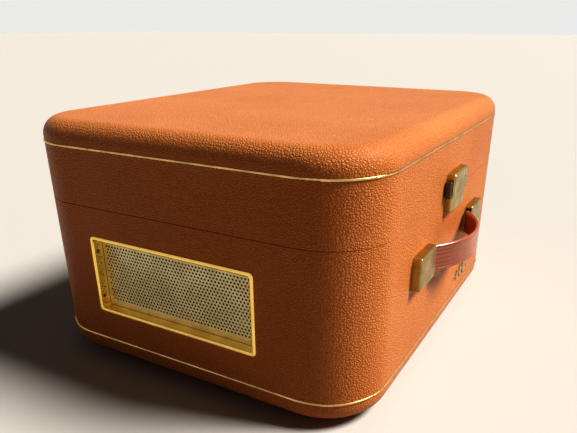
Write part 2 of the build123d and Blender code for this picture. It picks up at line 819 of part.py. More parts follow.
# Paper cone with its voice coil former
voice_coil_radius = 12.0
cone_front = basket_x + sheet + 1.4
cone_depth = 21.0
with BuildPart() as speaker_cone:
    with BuildSketch(Plane.YZ.offset(cone_front)):
        with Locations((bezel_y, bezel_z)):
            Ellipse(cone_length / 2, cone_height / 2)
    with BuildSketch(Plane.YZ.offset(cone_front + cone_depth)):
        with Locations((bezel_y, bezel_z)):
            Circle(voice_coil_radius)
    loft()
    with BuildSketch(Plane.YZ.offset(cone_front)):
        with Locations((bezel_y, bezel_z)):
            Ellipse(cone_length / 2 - 1.5, cone_height / 2 - 1.5)
    with BuildSketch(Plane.YZ.offset(cone_front + cone_depth - 1)):
        with Locations((bezel_y, bezel_z)):
            Circle(voice_coil_radius - 1)
    loft(mode=Mode.SUBTRACT)
    with BuildSketch(Plane.YZ.offset(cone_front + cone_depth - 0.5)):
        with Locations((bezel_y, bezel_z)):
            Circle(voice_coil_radius)
            Circle(voice_coil_radius - 0.6, mode=Mode.SUBTRACT)
    extrude(amount=13)
write(speaker_cone, "speaker_cone")

# Magnet pot, its pole standing inside the voice coil
with BuildPart() as speaker_magnet:
    magnet_x = basket_x + basket_depth
    with BuildSketch(Plane.YZ.offset(magnet_x)):
        with Locations((bezel_y, bezel_z)):
            Circle(basket_rear_radius - 1)
            Circle(voice_coil_radius + 1, mode=Mode.SUBTRACT)
    extrude(amount=3)
    with BuildSketch(Plane.YZ.offset(magnet_x + 3)):
        with Locations((bezel_y, bezel_z)):
            Circle(basket_rear_radius - 1)
            Circle(basket_rear_radius - 7, mode=Mode.SUBTRACT)
    extrude(amount=11)
    with BuildSketch(Plane.YZ.offset(magnet_x + 14)):
        with Locations((bezel_y, bezel_z)):
            Circle(basket_rear_radius - 1)
    extrude(amount=4)
    with BuildSketch(Plane.YZ.offset(magnet_x)):
        with Locations((bezel_y, bezel_z)):
            Circle(voice_coil_radius - 1.6)
    extrude(amount=15)
write(speaker_magnet, "speaker_magnet")

# ============================================================ DECK

with BuildPart() as deck_panel:
    with BuildSketch(Plane.XY.offset(deck_bottom)):
        case_outline(wall + free_gap)
        with Locations((unit_x, unit_y)):
            RectangleRounded(
                unit_length - 2 * unit_overlap,
                unit_width - 2 * unit_overlap,
                unit_corner,
                mode=Mode.SUBTRACT,
            )
        with Locations(*control_places):
            Circle(bush_radius, mode=Mode.SUBTRACT)
        with Locations((0, control_y)):
            Circle(4, mode=Mode.SUBTRACT)
        with Locations(*deck_screw_places):
            Circle(deck_screw_radius, mode=Mode.SUBTRACT)
        with Locations(*unit_screw_places):
            Circle(deck_screw_radius, mode=Mode.SUBTRACT)
    extrude(amount=deck_thickness)
write(deck_panel, "deck_panel")

# Gilt plate under the two knobs and the pilot lamp
with BuildPart() as control_plate:
    with BuildSketch(Plane.XY.offset(deck_top)):
        with Locations((0, control_y)):
            RectangleRounded(control_plate_length, control_plate_width, 6)
            Circle(4, mode=Mode.SUBTRACT)
        with Locations(*control_places):
            Circle(bush_radius, mode=Mode.SUBTRACT)
    extrude(amount=sheet)
    chamfer(control_plate.faces().sort_by(Axis.Z)[-1].outer_wire().edges(), 0.5)
write(control_plate, "control_plate")


def control_knob(x, y):
    """A fluted knob moulded on its control shaft."""
    with BuildPart() as knob:
        knob_bottom = deck_top + sheet + free_gap
        with BuildSketch(Plane.XY.offset(knob_bottom)):
            with Locations((x, y)):
                Circle(knob_radius)
        extrude(amount=knob_height, taper=5)
        fillet(knob.faces().sort_by(Axis.Z)[-1].edges(), 1.5)
        with BuildSketch(Plane.XY.offset(knob_bottom)):
            with Locations((x, y)):
                with PolarLocations(knob_radius + 0.3, 24):
                    Circle(0.8)
        extrude(amount=knob_height - 3.5, mode=Mode.SUBTRACT)
        with BuildSketch(Plane.XY.offset(knob_bottom + knob_height)):
            with Locations((x, y + 0.5 * knob_radius)):
                Rectangle(1.2, 0.6 * knob_radius)
        extrude(amount=-0.8, mode=Mode.SUBTRACT)
        with BuildSketch(Plane.XY.offset(deck_bottom - 6)):
            with Locations((x, y)):
                Circle(knob_shaft_radius)
        extrude(amount=knob_bottom - deck_bottom + 7)
    return knob


for name, (x, y) in zip(("tone_knob", "volume_knob"), control_places):
    write(control_knob(x, y), name)

# Potentiometers under the deck, each with a bush up through it
with BuildPart() as potentiometers:
    with BuildSketch(Plane.XY.offset(deck_bottom)):
        with Locations(*control_places):
            Circle(12)
    extrude(amount=-11)
    with BuildSketch(Plane.XY.offset(deck_bottom)):
        with Locations(*control_places):
            Circle(bush_radius)
    extrude(amount=deck_thickness + sheet)
    with BuildSketch(Plane.XY.offset(deck_top + sheet)):
        with Locations(*control_places):
            Circle(knob_shaft_radius + run_fit)
    extrude(amount=-(sheet + deck_thickness + 6.5), mode=Mode.SUBTRACT)
write(potentiometers, "potentiometers")

with BuildPart() as pilot_lamp:
    with BuildSketch(Plane.XY.offset(deck_bottom - 8)):
        with Locations((0, control_y)):
            Circle(4)
    extrude(amount=deck_top + sheet - deck_bottom + 8)
    with BuildSketch(Plane.XY.offset(deck_top + sheet)):
        with Locations((0, control_y)):
            Circle(5.5)
    extrude(amount=3)
    fillet(pilot_lamp.faces().sort_by(Axis.Z)[-1].edges(), 2.4)
write(pilot_lamp, "pilot_lamp")

# ============================================================ TURNTABLE

bearing_radius = 8.0
pulley_hole_radius = 10.0
speed_x, speed_y = 78.0, -72.0
idler_slot = 9.0
with BuildPart() as turntable_chassis:
    with BuildSketch(Plane.XY.offset(unit_bottom)):
        with Locations((unit_x, unit_y)):
            RectangleRounded(unit_length, unit_width, unit_corner)
        with Locations((spindle_x, spindle_y)):
            Circle(bearing_radius, mode=Mode.SUBTRACT)
        with Locations((motor_x, motor_y)):
            Circle(pulley_hole_radius, mode=Mode.SUBTRACT)
        with Locations((arm_x, arm_y)):
            Circle(arm_shaft_radius + 2, mode=Mode.SUBTRACT)
        with Locations((speed_x, speed_y)):
            Circle(bush_radius, mode=Mode.SUBTRACT)
        with Locations(*unit_screw_places):
            Circle(deck_screw_radius, mode=Mode.SUBTRACT)
    extrude(amount=unit_thickness)
    fillet(turntable_chassis.faces().sort_by(Axis.Z)[-1].outer_wire().edges(), 1.0)
write(turntable_chassis, "turntable_chassis")

with BuildPart() as chassis_grommets:
    with BuildSketch(Plane.XY.offset(deck_top)):
        with Locations(*unit_screw_places):
            Circle(5.5)
            Circle(deck_screw_radius, mode=Mode.SUBTRACT)
    extrude(amount=grommet_height)
write(chassis_grommets, "chassis_grommets")

spindle_plane = Plane(origin=(spindle_x, spindle_y, 0), x_dir=(1, 0, 0), z_dir=(0, -1, 0))
with BuildPart() as platter:
    with BuildSketch(spindle_plane):
        with BuildLine():
            Polyline(
                (shaft_radius, hub_bottom),
                (hub_radius, hub_bottom),
                (hub_radius, platter_top - platter_wall),
                (rim_inner_radius, platter_top - platter_wall),
                (rim_inner_radius, platter_bottom),
                (platter_radius, platter_bottom),
                (platter_radius, platter_top),
                (shaft_radius, platter_top),
                close=True,
            )
        make_face()
    revolve(axis=Axis((spindle_x, spindle_y, 0), (0, 0, 1)))
    fillet(platter.faces().sort_by(Axis.Z)[-1].outer_wire().edges(), 1.5)
write(platter, "platter")

# Rubber mat with raised rings
with BuildPart() as platter_mat:
    with BuildSketch(Plane.XY.offset(platter_top)):
        with Locations((spindle_x, spindle_y)):
            Circle(platter_radius - 2)
            Circle(shaft_radius + free_gap, mode=Mode.SUBTRACT)
    extrude(amount=mat_thickness)
    with BuildSketch(Plane.XY.offset(mat_top)):
        with Locations((spindle_x, spindle_y)):
            for ring in range(9):
                ring_radius = platter_radius - 8 - 8.5 * ring
                Circle(ring_radius)
                Circle(ring_radius - 4.5, mode=Mode.SUBTRACT)
    extrude(amount=-0.9, mode=Mode.SUBTRACT)
write(platter_mat, "platter_mat")

# Shaft in the bearing, stepped down above the mat to the record's centre hole
bearing_floor = unit_bottom - 26.0
with BuildPart() as spindle:
    with BuildSketch(Plane.XY.offset(bearing_floor + run_fit)):
        with Locations((spindle_x, spindle_y)):
            Circle(shaft_radius)
    extrude(amount=mat_top - bearing_floor - run_fit)
    with BuildSketch(Plane.XY.offset(mat_top)):
        with Locations((spindle_x, spindle_y)):
            Circle(spindle_radius)
    extrude(amount=spindle_above_mat)
    fillet(spindle.faces().sort_by(Axis.Z)[-1].edges(), 2.6)
write(spindle, "spindle")

with BuildPart() as platter_bearing:
    with BuildSketch(spindle_plane):
        with BuildLine():
            Polyline(
                (0, bearing_floor - 4),
                (bearing_radius, bearing_floor - 4),
                (bearing_radius, unit_top),
                (bearing_radius + 5, unit_top),
                (bearing_radius + 5, unit_top + 2),
                (bearing_radius - 1, unit_top + 2),
                (bearing_radius - 1, hub_bottom - free_gap),
                (shaft_radius + run_fit, hub_bottom - free_gap),
                (shaft_radius + run_fit, bearing_floor),
                (0, bearing_floor),
                close=True,
            )
        make_face()
    revolve(axis=Axis((spindle_x, spindle_y, 0), (0, 0, 1)))
write(platter_bearing, "platter_bearing")

# Idler: a light wheel with a rubber tyre on a fixed arm
with BuildPart() as idler_wheel:
    with BuildSketch(Plane.XY.offset(drive_z - tyre_height / 2)):
        with Locations((idler_x, idler_y)):
            Circle(tyre_radius - tyre_wall)
            with PolarLocations(9, 5):
                Circle(2.4, mode=Mode.SUBTRACT)
    extrude(amount=tyre_height)
    with BuildSketch(Plane.XY.offset(drive_z - tyre_height / 2)):
        with Locations((idler_x, idler_y)):
            Circle(4.5)
    extrude(amount=tyre_height + 1.5)
    with BuildSketch(Plane.XY.offset(drive_z - tyre_height / 2)):
        with Locations((idler_x, idler_y)):
            Circle(idler_pin_radius + run_fit)
    extrude(amount=tyre_height + 2, mode=Mode.SUBTRACT)
write(idler_wheel, "idler_wheel")

with BuildPart() as idler_tyre:
    with BuildSketch(Plane.XY.offset(drive_z - tyre_height / 2)):
        with Locations((idler_x, idler_y)):
            Circle(tyre_radius)
            Circle(tyre_radius - tyre_wall, mode=Mode.SUBTRACT)
    extrude(amount=tyre_height)
    fillet(idler_tyre.edges().filter_by(GeomType.CIRCLE).group_by(SortBy.RADIUS)[-1], 0.8)
write(idler_tyre, "idler_tyre")

arm_post_x = idler_x - 30.0
with BuildPart() as idler_arm:
    arm_top = drive_z - tyre_height / 2 - free_gap
    with BuildSketch(Plane.XY.offset(arm_top)):
        with Locations((idler_x - 15, idler_y)):
            SlotCenterToCenter(30, 9)
    extrude(amount=-1.5)
    with BuildSketch(Plane.XY.offset(arm_top)):
        with Locations((idler_x, idler_y)):
            Circle(idler_pin_radius)
    extrude(amount=tyre_height + 2.6)
    with BuildSketch(Plane.XY.offset(unit_top)):
        with Locations((arm_post_x, idler_y)):
            Circle(3.5)
    extrude(amount=arm_top - unit_top)
write(idler_arm, "idler_arm")

# ============================================================ MOTOR

with BuildPart() as motor_core:
    with BuildSketch(Plane.XY.offset(core_top)):
        with Locations((motor_x, motor_y)):
            Rectangle(core_length, core_width)
            Circle(rotor_radius + air_gap, mode=Mode.SUBTRACT)
        with Locations((motor_x - core_length / 2 + 9, motor_y)):
            Rectangle(6, core_width - 18, mode=Mode.SUBTRACT)
    extrude(amount=-core_height)
write(motor_core, "motor_core")

with BuildPart() as motor_coil:
    coil_grow = 5.0
    with BuildSketch(Plane.XY.offset(core_top + coil_grow)):
        with Locations((motor_x - core_length / 2 + 3, motor_y)):
            RectangleRounded(6 + 2 * coil_grow, core_width - 20, 3)
            Rectangle(6, core_width - 19, mode=Mode.SUBTRACT)
    extrude(amount=-(core_height + 2 * coil_grow))
    with BuildSketch(Plane.XY.offset(core_top)):
        with Locations((motor_x - core_length / 2 + 3, motor_y)):
            Rectangle(6, core_width - 20)
    extrude(amount=coil_grow)
    with BuildSketch(Plane.XY.offset(core_top - core_height)):
        with Locations((motor_x - core_length / 2 + 3, motor_y)):
            Rectangle(6, core_width - 20)
    extrude(amount=-coil_grow)
write(motor_coil, "motor_coil")

motor_bottom = core_top - core_height - bracket_clear - bracket_plate
with BuildPart() as motor_brackets:
    for level in (motor_top, motor_bottom + bracket_plate):
        with BuildSketch(Plane.XY.offset(level)):
            with Locations((motor_x + 6, motor_y)):
                RectangleRounded(core_length - 14, core_width - 4, 4)
            with Locations((motor_x, motor_y)):
                Circle(motor_shaft_radius + run_fit, mode=Mode.SUBTRACT)
        extrude(amount=-bracket_plate)
    for level in (core_top, core_top - core_height - bracket_clear):
        with BuildSketch(Plane.XY.offset(level)):
            with Locations((motor_x + 6, motor_y)):
                with GridLocations(core_length - 24, core_width - 14, 2, 2):
                    Circle(2.5)
        extrude(amount=bracket_clear)
    with BuildSketch(Plane.XY.offset(motor_top)):
        with Locations((motor_x + 6, motor_y)):
            with GridLocations(core_length - 24, core_width - 14, 2, 2):
                Circle(3)
    extrude(amount=unit_bottom - motor_top)
write(motor_brackets, "motor_brackets")

with BuildPart() as motor_rotor:
    with BuildSketch(Plane.XY.offset(core_top)):
        with Locations((motor_x, motor_y)):
            Circle(rotor_radius)
    extrude(amount=-core_height)
    with BuildSketch(Plane.XY.offset(motor_bottom - 1)):
        with Locations((motor_x, motor_y)):
            Circle(motor_shaft_radius)
    extrude(amount=unit_top + 1 - motor_bottom)
write(motor_rotor, "motor_rotor")

# Turned pulley with a step for each speed
with BuildPart() as motor_pulley:
    for foot, top, radius in (
        (unit_top, drive_z - 3.0, 5.8),
        (drive_z - 3.0, drive_z + 2.6, pulley_radius),
        (drive_z + 2.6, drive_z + 6.0, 3.4),
    ):
        with BuildSketch(Plane.XY.offset(foot)):
            with Locations((motor_x, motor_y)):
                Circle(radius)
        extrude(amount=top - foot)
write(motor_pulley, "motor_pulley")

with BuildPart() as speed_knob:
    with BuildSketch(Plane.XY.offset(unit_top + free_gap)):
        with Locations((speed_x, speed_y)):
            Circle(10)
    extrude(amount=4)
    with BuildSketch(Plane.XY.offset(unit_top + free_gap + 4)):
        with Locations((speed_x, speed_y)):
            SlotOverall(19, 6, rotation=90)
    extrude(amount=5)
    fillet(speed_knob.faces().sort_by(Axis.Z)[-1].edges(), 1.2)
    with BuildSketch(Plane.XY.offset(unit_bottom - 4)):
        with Locations((speed_x, speed_y)):
            Circle(bush_radius - run_fit)
    extrude(amount=unit_top + free_gap - unit_bottom + 4)
write(speed_knob, "speed_knob")

# ============================================================ TONEARM

with BuildPart() as tonearm_base:
    with BuildSketch(Plane.XY.offset(unit_top)):
        with Locations((arm_x, arm_y)):
            Circle(arm_base_radius)
    extrude(amount=arm_base_height, taper=8)
    fillet(tonearm_base.faces().sort_by(Axis.Z)[-1].edges(), 2)
    with BuildSketch(Plane.XY.offset(unit_bottom - 6)):
        with Locations((arm_x, arm_y)):
            Circle(arm_shaft_radius + 2)
    extrude(amount=unit_top - unit_bottom + 6)
    with BuildSketch(Plane.XY.offset(unit_bottom - 6)):
        with Locations((arm_x, arm_y)):
            Circle(arm_shaft_radius + run_fit)
    extrude(amount=arm_base_height + 10, mode=Mode.SUBTRACT)
write(tonearm_base, "tonearm_base")

yoke_bottom = unit_top + arm_base_height + free_gap
with BuildPart() as tonearm_yoke:
    with BuildSketch(Plane.XY.offset(unit_bottom - 4)):
        with Locations((arm_x, arm_y)):
            Circle(arm_shaft_radius)
    extrude(amount=yoke_bottom - unit_bottom + 4.5)
    with BuildSketch(Plane.XY.offset(yoke_bottom)):
        with Locations((arm_x, arm_y)):
            RectangleRounded(2 * (cheek_inner + cheek_thickness), 20, 3)
    extrude(amount=3)
    for side in (-1, 1):
        with BuildSketch(Plane.YZ.offset(arm_x + side * (cheek_inner + cheek_thickness / 2))):
            with BuildLine():
                Polyline(
                    (arm_y - 9, yoke_bottom + 1),
                    (arm_y + 9, yoke_bottom + 1),
                    (arm_y + 5, arm_z + 4),
                    (arm_y - 5, arm_z + 4),
                    close=True,
                )
            make_face()
        extrude(amount=cheek_thickness / 2, both=True)
    with BuildSketch(Plane.YZ.offset(arm_x)):
        with Locations((arm_y, arm_z)):
            Circle(pivot_pin_radius)
    extrude(amount=cheek_inner + 1, both=True)
write(tonearm_yoke, "tonearm_yoke")

# Moulded arm, drawn from above and cut to its side profile
head_y = arm_y - arm_reach
with BuildPart() as tonearm:
    with BuildSketch(Plane.XY.offset(arm_z - 20)):
        with BuildLine():
            Polyline(
                (arm_x - 6.6, arm_y + 40),
                (arm_x + 6.6, arm_y + 40),
                (arm_x + 6.6, arm_y - 14),
                (arm_x + 4.4, head_y + 52),
                (arm_x + 9.0, head_y + 22),
                (arm_x + 9.0, head_y - 12),
                (arm_x - 9.0, head_y - 12),
                (arm_x - 9.0, head_y + 22),
                (arm_x - 4.4, head_y + 52),
                (arm_x - 6.6, arm_y - 14),
                close=True,
            )
        make_face()
    extrude(amount=40)
    with BuildSketch(Plane.YZ.offset(arm_x)):
        with BuildLine():
            arm_side = Polyline(
                (arm_y + 40, arm_z - 8),
                (arm_y + 40, arm_z + 8),
                (arm_y + 10, arm_z + 9),
                (arm_y - 20, arm_z + 6),
                (head_y + 40, arm_z + 2.5),
                (head_y - 2, arm_z + 3.5),
                (head_y - 12, arm_z + 0.5),
                (head_y - 12, arm_z - 4.0),
                (head_y + 36, arm_z - 4.0),
                (arm_y - 20, arm_z - 5),
                (arm_y - 8, arm_z - 8),
                close=True,
            )
        make_face()
    extrude(amount=20, both=True, mode=Mode.INTERSECT)
    fillet(tonearm.edges().filter_by(Axis.Z), 2.5)
    with BuildSketch(Plane.YZ.offset(arm_x)):
        with Locations((arm_y, arm_z)):
            Circle(pivot_pin_radius + run_fit)
    extrude(amount=cheek_inner, both=True, mode=Mode.SUBTRACT)
write(tonearm, "tonearm")

# Turn-over cartridge under the head, with the stylus at its end
with BuildPart() as cartridge:
    with BuildSketch(Plane.XY.offset(arm_z - 4.0)):
        with Locations((arm_x, head_y + 6)):
            Rectangle(9, 20)
    extrude(amount=stylus_z + 2.5 - arm_z + 4.0)
    with BuildSketch(Plane.XY.offset(stylus_z + 2.5)):
        with Locations((arm_x, head_y)):
            Circle(0.9)
    extrude(amount=-2.5, taper=12)
write(cartridge, "cartridge")

with BuildPart() as arm_rest:
    rest_top = arm_z - 4.5
    with BuildSketch(Plane.XY.offset(unit_top)):
        with Locations((arm_x, rest_y)):
            Circle(7)
    extrude(amount=3)
    with BuildSketch(Plane.XY.offset(unit_top + 3)):
        with Locations((arm_x, rest_y)):
            Circle(3.5)
    extrude(amount=rest_top - unit_top - 6)
    with BuildSketch(Plane.XY.offset(rest_top - 3)):
        with Locations((arm_x + 2, rest_y)):
            RectangleRounded(17, 9, 2)
    extrude(amount=3)
    with BuildSketch(Plane.XY.offset(rest_top)):
        with Locations((arm_x + 9, rest_y)):
            Rectangle(3, 9)
    extrude(amount=6)
write(arm_rest, "arm_rest")

# ============================================================ AMPLIFIER

valve_places = [(-52, amp_y), (-18, amp_y)]
with BuildPart() as amp_chassis:
    with BuildSketch(Plane.XY.offset(floor_top)):
        with Locations((amp_x, amp_y)):
            Rectangle(amp_length, amp_width)
    extrude(amount=amp_height)
    with BuildSketch(Plane.XY.offset(floor_top)):
        with Locations((amp_x, amp_y)):
            Rectangle(amp_length + 2, amp_width - 2 * sheet)
    extrude(amount=amp_height - sheet, mode=Mode.SUBTRACT)
    with BuildSketch(Plane.XY.offset(amp_top - 8)):
        with Locations(*valve_places):
            Circle(9)
    extrude(amount=8)
    with BuildSketch(Plane.XY.offset(amp_top)):
        with Locations(*valve_places):
            Circle(12)
    extrude(amount=2)
write(amp_chassis, "amp_chassis")

with BuildPart() as valves:
    with BuildSketch(Plane.XY.offset(amp_top + 2)):
        with Locations(*valve_places):
            Circle(10.5)
    extrude(amount=52)
    fillet(valves.faces().sort_by(Axis.Z)[-2:].edges(), 8)
    with BuildSketch(Plane.XY.offset(amp_top + 54)):
        with Locations(*valve_places):
            Circle(1.8)
    extrude(amount=3.5, taper=15)
write(valves, "valves")

transformer_places = [(104.0, 54.0, 46.0, 44.0), (46.0, 38.0, 32.0, 30.0)]
with BuildPart() as transformer_cores:
    for x, length, width, height in transformer_places:
        with BuildSketch(Plane.XZ.offset(-amp_y + width / 4)):
            with Locations((x, amp_top + height / 2)):
                Rectangle(length, height)
                with GridLocations(length / 2, 1, 2, 1):
                    Rectangle(length / 6, height - length / 3, mode=Mode.SUBTRACT)
        extrude(amount=-width / 2)
write(transformer_cores, "transformer_cores")

with BuildPart() as transformer_coils:
    for x, length, width, height in transformer_places:
        with BuildSketch(Plane.XZ.offset(-amp_y + width / 2)):
            with Locations((x, amp_top + height / 2)):
                Rectangle(length / 2 + length / 6, height - length / 3)
        extrude(amount=-width)
        with BuildSketch(Plane.XZ.offset(-amp_y + width / 4)):
            with Locations((x, amp_top + height / 2)):
                Rectangle(length / 3, height - length / 3)
        extrude(amount=-width / 2, mode=Mode.SUBTRACT)
write(transformer_coils, "transformer_coils")

# ============================================================ FASTENERS

# Screws of the feet, vent cover, hinges, baffle, deck and turntable unit, and the handle's studs with their nuts
nut_height = 3.0
with BuildPart() as base_fasteners:
    add_screws(
        [(x, y, foot_height / 2) for x, y in foot_places],
        (0, 0, -1),
        3.4,
        1.8,
        foot_screw_radius,
        foot_height / 2 + foot_screw_length,
    )
    add_screws(
        [(x, y, case_bottom - sheet) for x, y in vent_screw_places],
        (0, 0, -1),
        3.0,
        1.6,
        vent_screw_radius,
        sheet + foot_screw_length,
    )
    add_screws(
        [(x, back_y + leaf_thickness, hinge_z - hinge_screw_z) for x in hinge_screw_places],
        (0, 1, 0),
        2.8,
        1.3,
        wood_screw_radius,
        leaf_thickness + wood_screw_length,
    )
    add_screws(
        [(baffle_x + baffle_thickness, y, z) for y, z in baffle_screw_places],
        (1, 0, 0),
        2.8,
        1.3,
        wood_screw_radius,
        baffle_thickness + wood_screw_length,
    )
    add_screws(
        [(x, y, deck_top) for x, y in deck_screw_places],
        (0, 0, 1),
        3.4,
        1.8,
        deck_screw_radius,
        deck_thickness + 10,
    )
    add_screws(
        [(x, y, unit_top) for x, y in unit_screw_places],
        (0, 0, 1),
        3.4,
        1.8,
        deck_screw_radius,
        unit_top - deck_bottom,
    )
    with BuildSketch(Plane.XZ.offset(-front_y + sheet)):
        with Locations(*[(x, handle_z) for x in stud_places]):
            Circle(stud_radius)
    extrude(amount=-(sheet + wall + nut_height + 1))
    with BuildSketch(Plane.XZ.offset(-front_y - wall)):
        with Locations(*[(x, handle_z) for x in stud_places]):
            RegularPolygon(4, 6)
    extrude(amount=-nut_height)
write(base_fasteners, "base_fasteners")
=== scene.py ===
import math

import bpy
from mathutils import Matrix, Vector


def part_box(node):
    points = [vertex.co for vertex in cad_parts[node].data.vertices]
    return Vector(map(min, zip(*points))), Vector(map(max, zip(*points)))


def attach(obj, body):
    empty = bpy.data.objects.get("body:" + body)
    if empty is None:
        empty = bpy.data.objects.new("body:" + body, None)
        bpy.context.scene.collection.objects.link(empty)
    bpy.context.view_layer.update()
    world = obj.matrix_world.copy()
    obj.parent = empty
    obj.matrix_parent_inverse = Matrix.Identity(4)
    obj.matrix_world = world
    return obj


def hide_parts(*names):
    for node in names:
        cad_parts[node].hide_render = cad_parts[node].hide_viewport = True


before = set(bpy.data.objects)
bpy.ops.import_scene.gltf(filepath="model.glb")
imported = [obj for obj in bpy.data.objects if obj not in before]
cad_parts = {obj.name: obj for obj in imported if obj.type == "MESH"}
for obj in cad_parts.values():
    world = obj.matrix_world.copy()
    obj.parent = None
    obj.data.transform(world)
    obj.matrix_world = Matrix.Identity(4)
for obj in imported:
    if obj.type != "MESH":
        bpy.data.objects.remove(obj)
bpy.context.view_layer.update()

# ---------------------------------------------------------------- ROOM
# A plain pale floor that throws back little light, a large soft warm lamp from the front right, and a dim even
# sky. The camera looks down on the speaker's corner.

camera_turn, camera_tilt = math.radians(-60.91), math.radians(23.84)
camera_data = bpy.data.cameras.new("camera")
camera_data.sensor_width = 36.0
camera_data.lens = 35.52
camera_data.shift_x = -0.0222
camera_data.shift_y = 0.103
camera = bpy.data.objects.new("camera", camera_data)
bpy.context.scene.collection.objects.link(camera)
camera.location = (-0.5159, -0.28228, 0.29135)
behind_camera = Vector(
    (
        math.sin(camera_turn) * math.cos(camera_tilt),
        -math.cos(camera_turn) * math.cos(camera_tilt),
        math.sin(camera_tilt),
    )
)
camera.rotation_euler = (-behind_camera).to_track_quat("-Z", "Y").to_euler()
bpy.context.scene.camera = camera

# The floor is pale where it is seen or mirrored, and warmer and darker in the light that it throws back
floor_width = 40.0
floor_thrown_back = (0.27, 0.175, 0.095, 1)
floor_seen = (0.60, 0.59, 0.57, 1)
bpy.ops.object.select_all(action="DESELECT")
bpy.ops.mesh.primitive_plane_add(size=floor_width, location=(0, 0, 0))
floor = bpy.context.object
floor.name = "floor"
floor_paint = bpy.data.materials.new("floor_paint")
floor_paint.use_nodes = True
floor_shader = floor_paint.node_tree.nodes["Principled BSDF"]
floor_shader.inputs["Roughness"].default_value = 0.8
floor_ray = floor_paint.node_tree.nodes.new("ShaderNodeLightPath")
floor_colour = floor_paint.node_tree.nodes.new("ShaderNodeMix")
floor_colour.data_type = "RGBA"
floor_colour.inputs[6].default_value = floor_thrown_back
floor_colour.inputs[7].default_value = floor_seen
seen_or_mirrored = floor_paint.node_tree.nodes.new("ShaderNodeMath")
seen_or_mirrored.operation = "MAXIMUM"
floor_paint.node_tree.links.new(floor_ray.outputs["Is Camera Ray"], seen_or_mirrored.inputs[0])
floor_paint.node_tree.links.new(floor_ray.outputs["Is Glossy Ray"], seen_or_mirrored.inputs[1])
floor_paint.node_tree.links.new(seen_or_mirrored.outputs[0], floor_colour.inputs[0])
floor_paint.node_tree.links.new(floor_colour.outputs[2], floor_shader.inputs["Base Color"])
floor.data.materials.append(floor_paint)

window_direction = Vector((0.31, -0.575, 0.757))
sun_data = bpy.data.lights.new("window_light", "SUN")
sun_data.energy = 6.2
sun_data.angle = math.radians(20)
sun_data.color = (1.0, 0.95, 0.87)
window_light = bpy.data.objects.new("window_light", sun_data)
bpy.context.scene.collection.objects.link(window_light)
window_light.rotation_euler = window_direction.to_track_quat("Z", "Y").to_euler()

# The sky is seen white and mirrored pale, but gives only a little light
sky = bpy.data.worlds.new("sky")
sky.use_nodes = True
dim_sky = sky.node_tree.nodes["Background"]
dim_sky.inputs["Color"].default_value = (0.93, 0.95, 1.0, 1)
dim_sky.inputs["Strength"].default_value = 0.012
seen_sky = sky.node_tree.nodes.new("ShaderNodeBackground")
seen_sky.inputs["Color"].default_value = (0.86, 0.86, 0.85, 1)
seen_sky.inputs["Strength"].default_value = 1.0
mirrored_sky = sky.node_tree.nodes.new("ShaderNodeBackground")
mirrored_sky.inputs["Color"].default_value = (1.0, 0.95, 0.86, 1)
mirrored_sky.inputs["Strength"].default_value = 0.75
ray = sky.node_tree.nodes.new("ShaderNodeLightPath")
for_gloss = sky.node_tree.nodes.new("ShaderNodeMixShader")
choice = sky.node_tree.nodes.new("ShaderNodeMixShader")
sky.node_tree.links.new(ray.outputs["Is Glossy Ray"], for_gloss.inputs["Fac"])
sky.node_tree.links.new(dim_sky.outputs[0], for_gloss.inputs[1])
sky.node_tree.links.new(mirrored_sky.outputs[0], for_gloss.inputs[2])
sky.node_tree.links.new(ray.outputs["Is Camera Ray"], choice.inputs["Fac"])
sky.node_tree.links.new(for_gloss.outputs[0], choice.inputs[1])
sky.node_tree.links.new(seen_sky.outputs[0], choice.inputs[2])
sky.node_tree.links.new(choice.outputs[0], sky.node_tree.nodes["World Output"].inputs["Surface"])
bpy.context.scene.world = sky
bpy.context.scene.view_settings.view_transform = "Standard"
bpy.context.scene.view_settings.gamma = 0.8

# ---------------------------------------------------------------- CASE
# A plywood tub and lid with rounded corners, bare inside the tub and papered inside the lid. Outside, both are
# covered in tan leathercloth with a small pebble grain, wrapped round the edges and glued.


def start_group(name, inputs, outputs):
    """An empty shader group with named sockets: inputs are (name, kind, value) and outputs are (name, kind)."""
    group = bpy.data.node_groups.new(name, "ShaderNodeTree")
    for label, kind, value in inputs:
        socket = group.interface.new_socket(label, in_out="INPUT", socket_type=kind)
        if value is not None:
            socket.default_value = value
    for label, kind in outputs:
        group.interface.new_socket(label, in_out="OUTPUT", socket_type=kind)
    return group, group.nodes.new("NodeGroupInput"), group.nodes.new("NodeGroupOutput")


def add_node(tree, kind, settings=None, **values):
    """A node with its settings, and with values on its named sockets; a tuple (node, output) links instead."""
    node = tree.nodes.new(kind)
    for key, value in (settings or {}).items():
        setattr(node, key, value)
    for label, value in values.items():
        socket = node.inputs[label.replace("_", " ")]
        if isinstance(value, tuple) and len(value) == 2 and hasattr(value[0], "outputs"):
            tree.links.new(value[0].outputs[value[1]], socket)
        else:
            socket.default_value = value
    return node


def maths(tree, operation, first, second=None, clamp=False):
    """A Math node on numbers or (node, output) links."""
    node = tree.nodes.new("ShaderNodeMath")
    node.operation, node.use_clamp = operation, clamp
    for socket, value in zip(node.inputs, (first, second)):
        if isinstance(value, tuple):
            tree.links.new(value[0].outputs[value[1]], socket)
        elif value is not None:
            socket.default_value = value
    return (node, 0)


def ramp(tree, source, low, high):
    """A 0 to 1 mask between two levels of a value."""
    node = tree.nodes.new("ShaderNodeMapRange")
    tree.links.new(source[0].outputs[source[1]], node.inputs["Value"])
    node.inputs["From Min"].default_value = low
    node.inputs["From Max"].default_value = high
    return (node, 0)


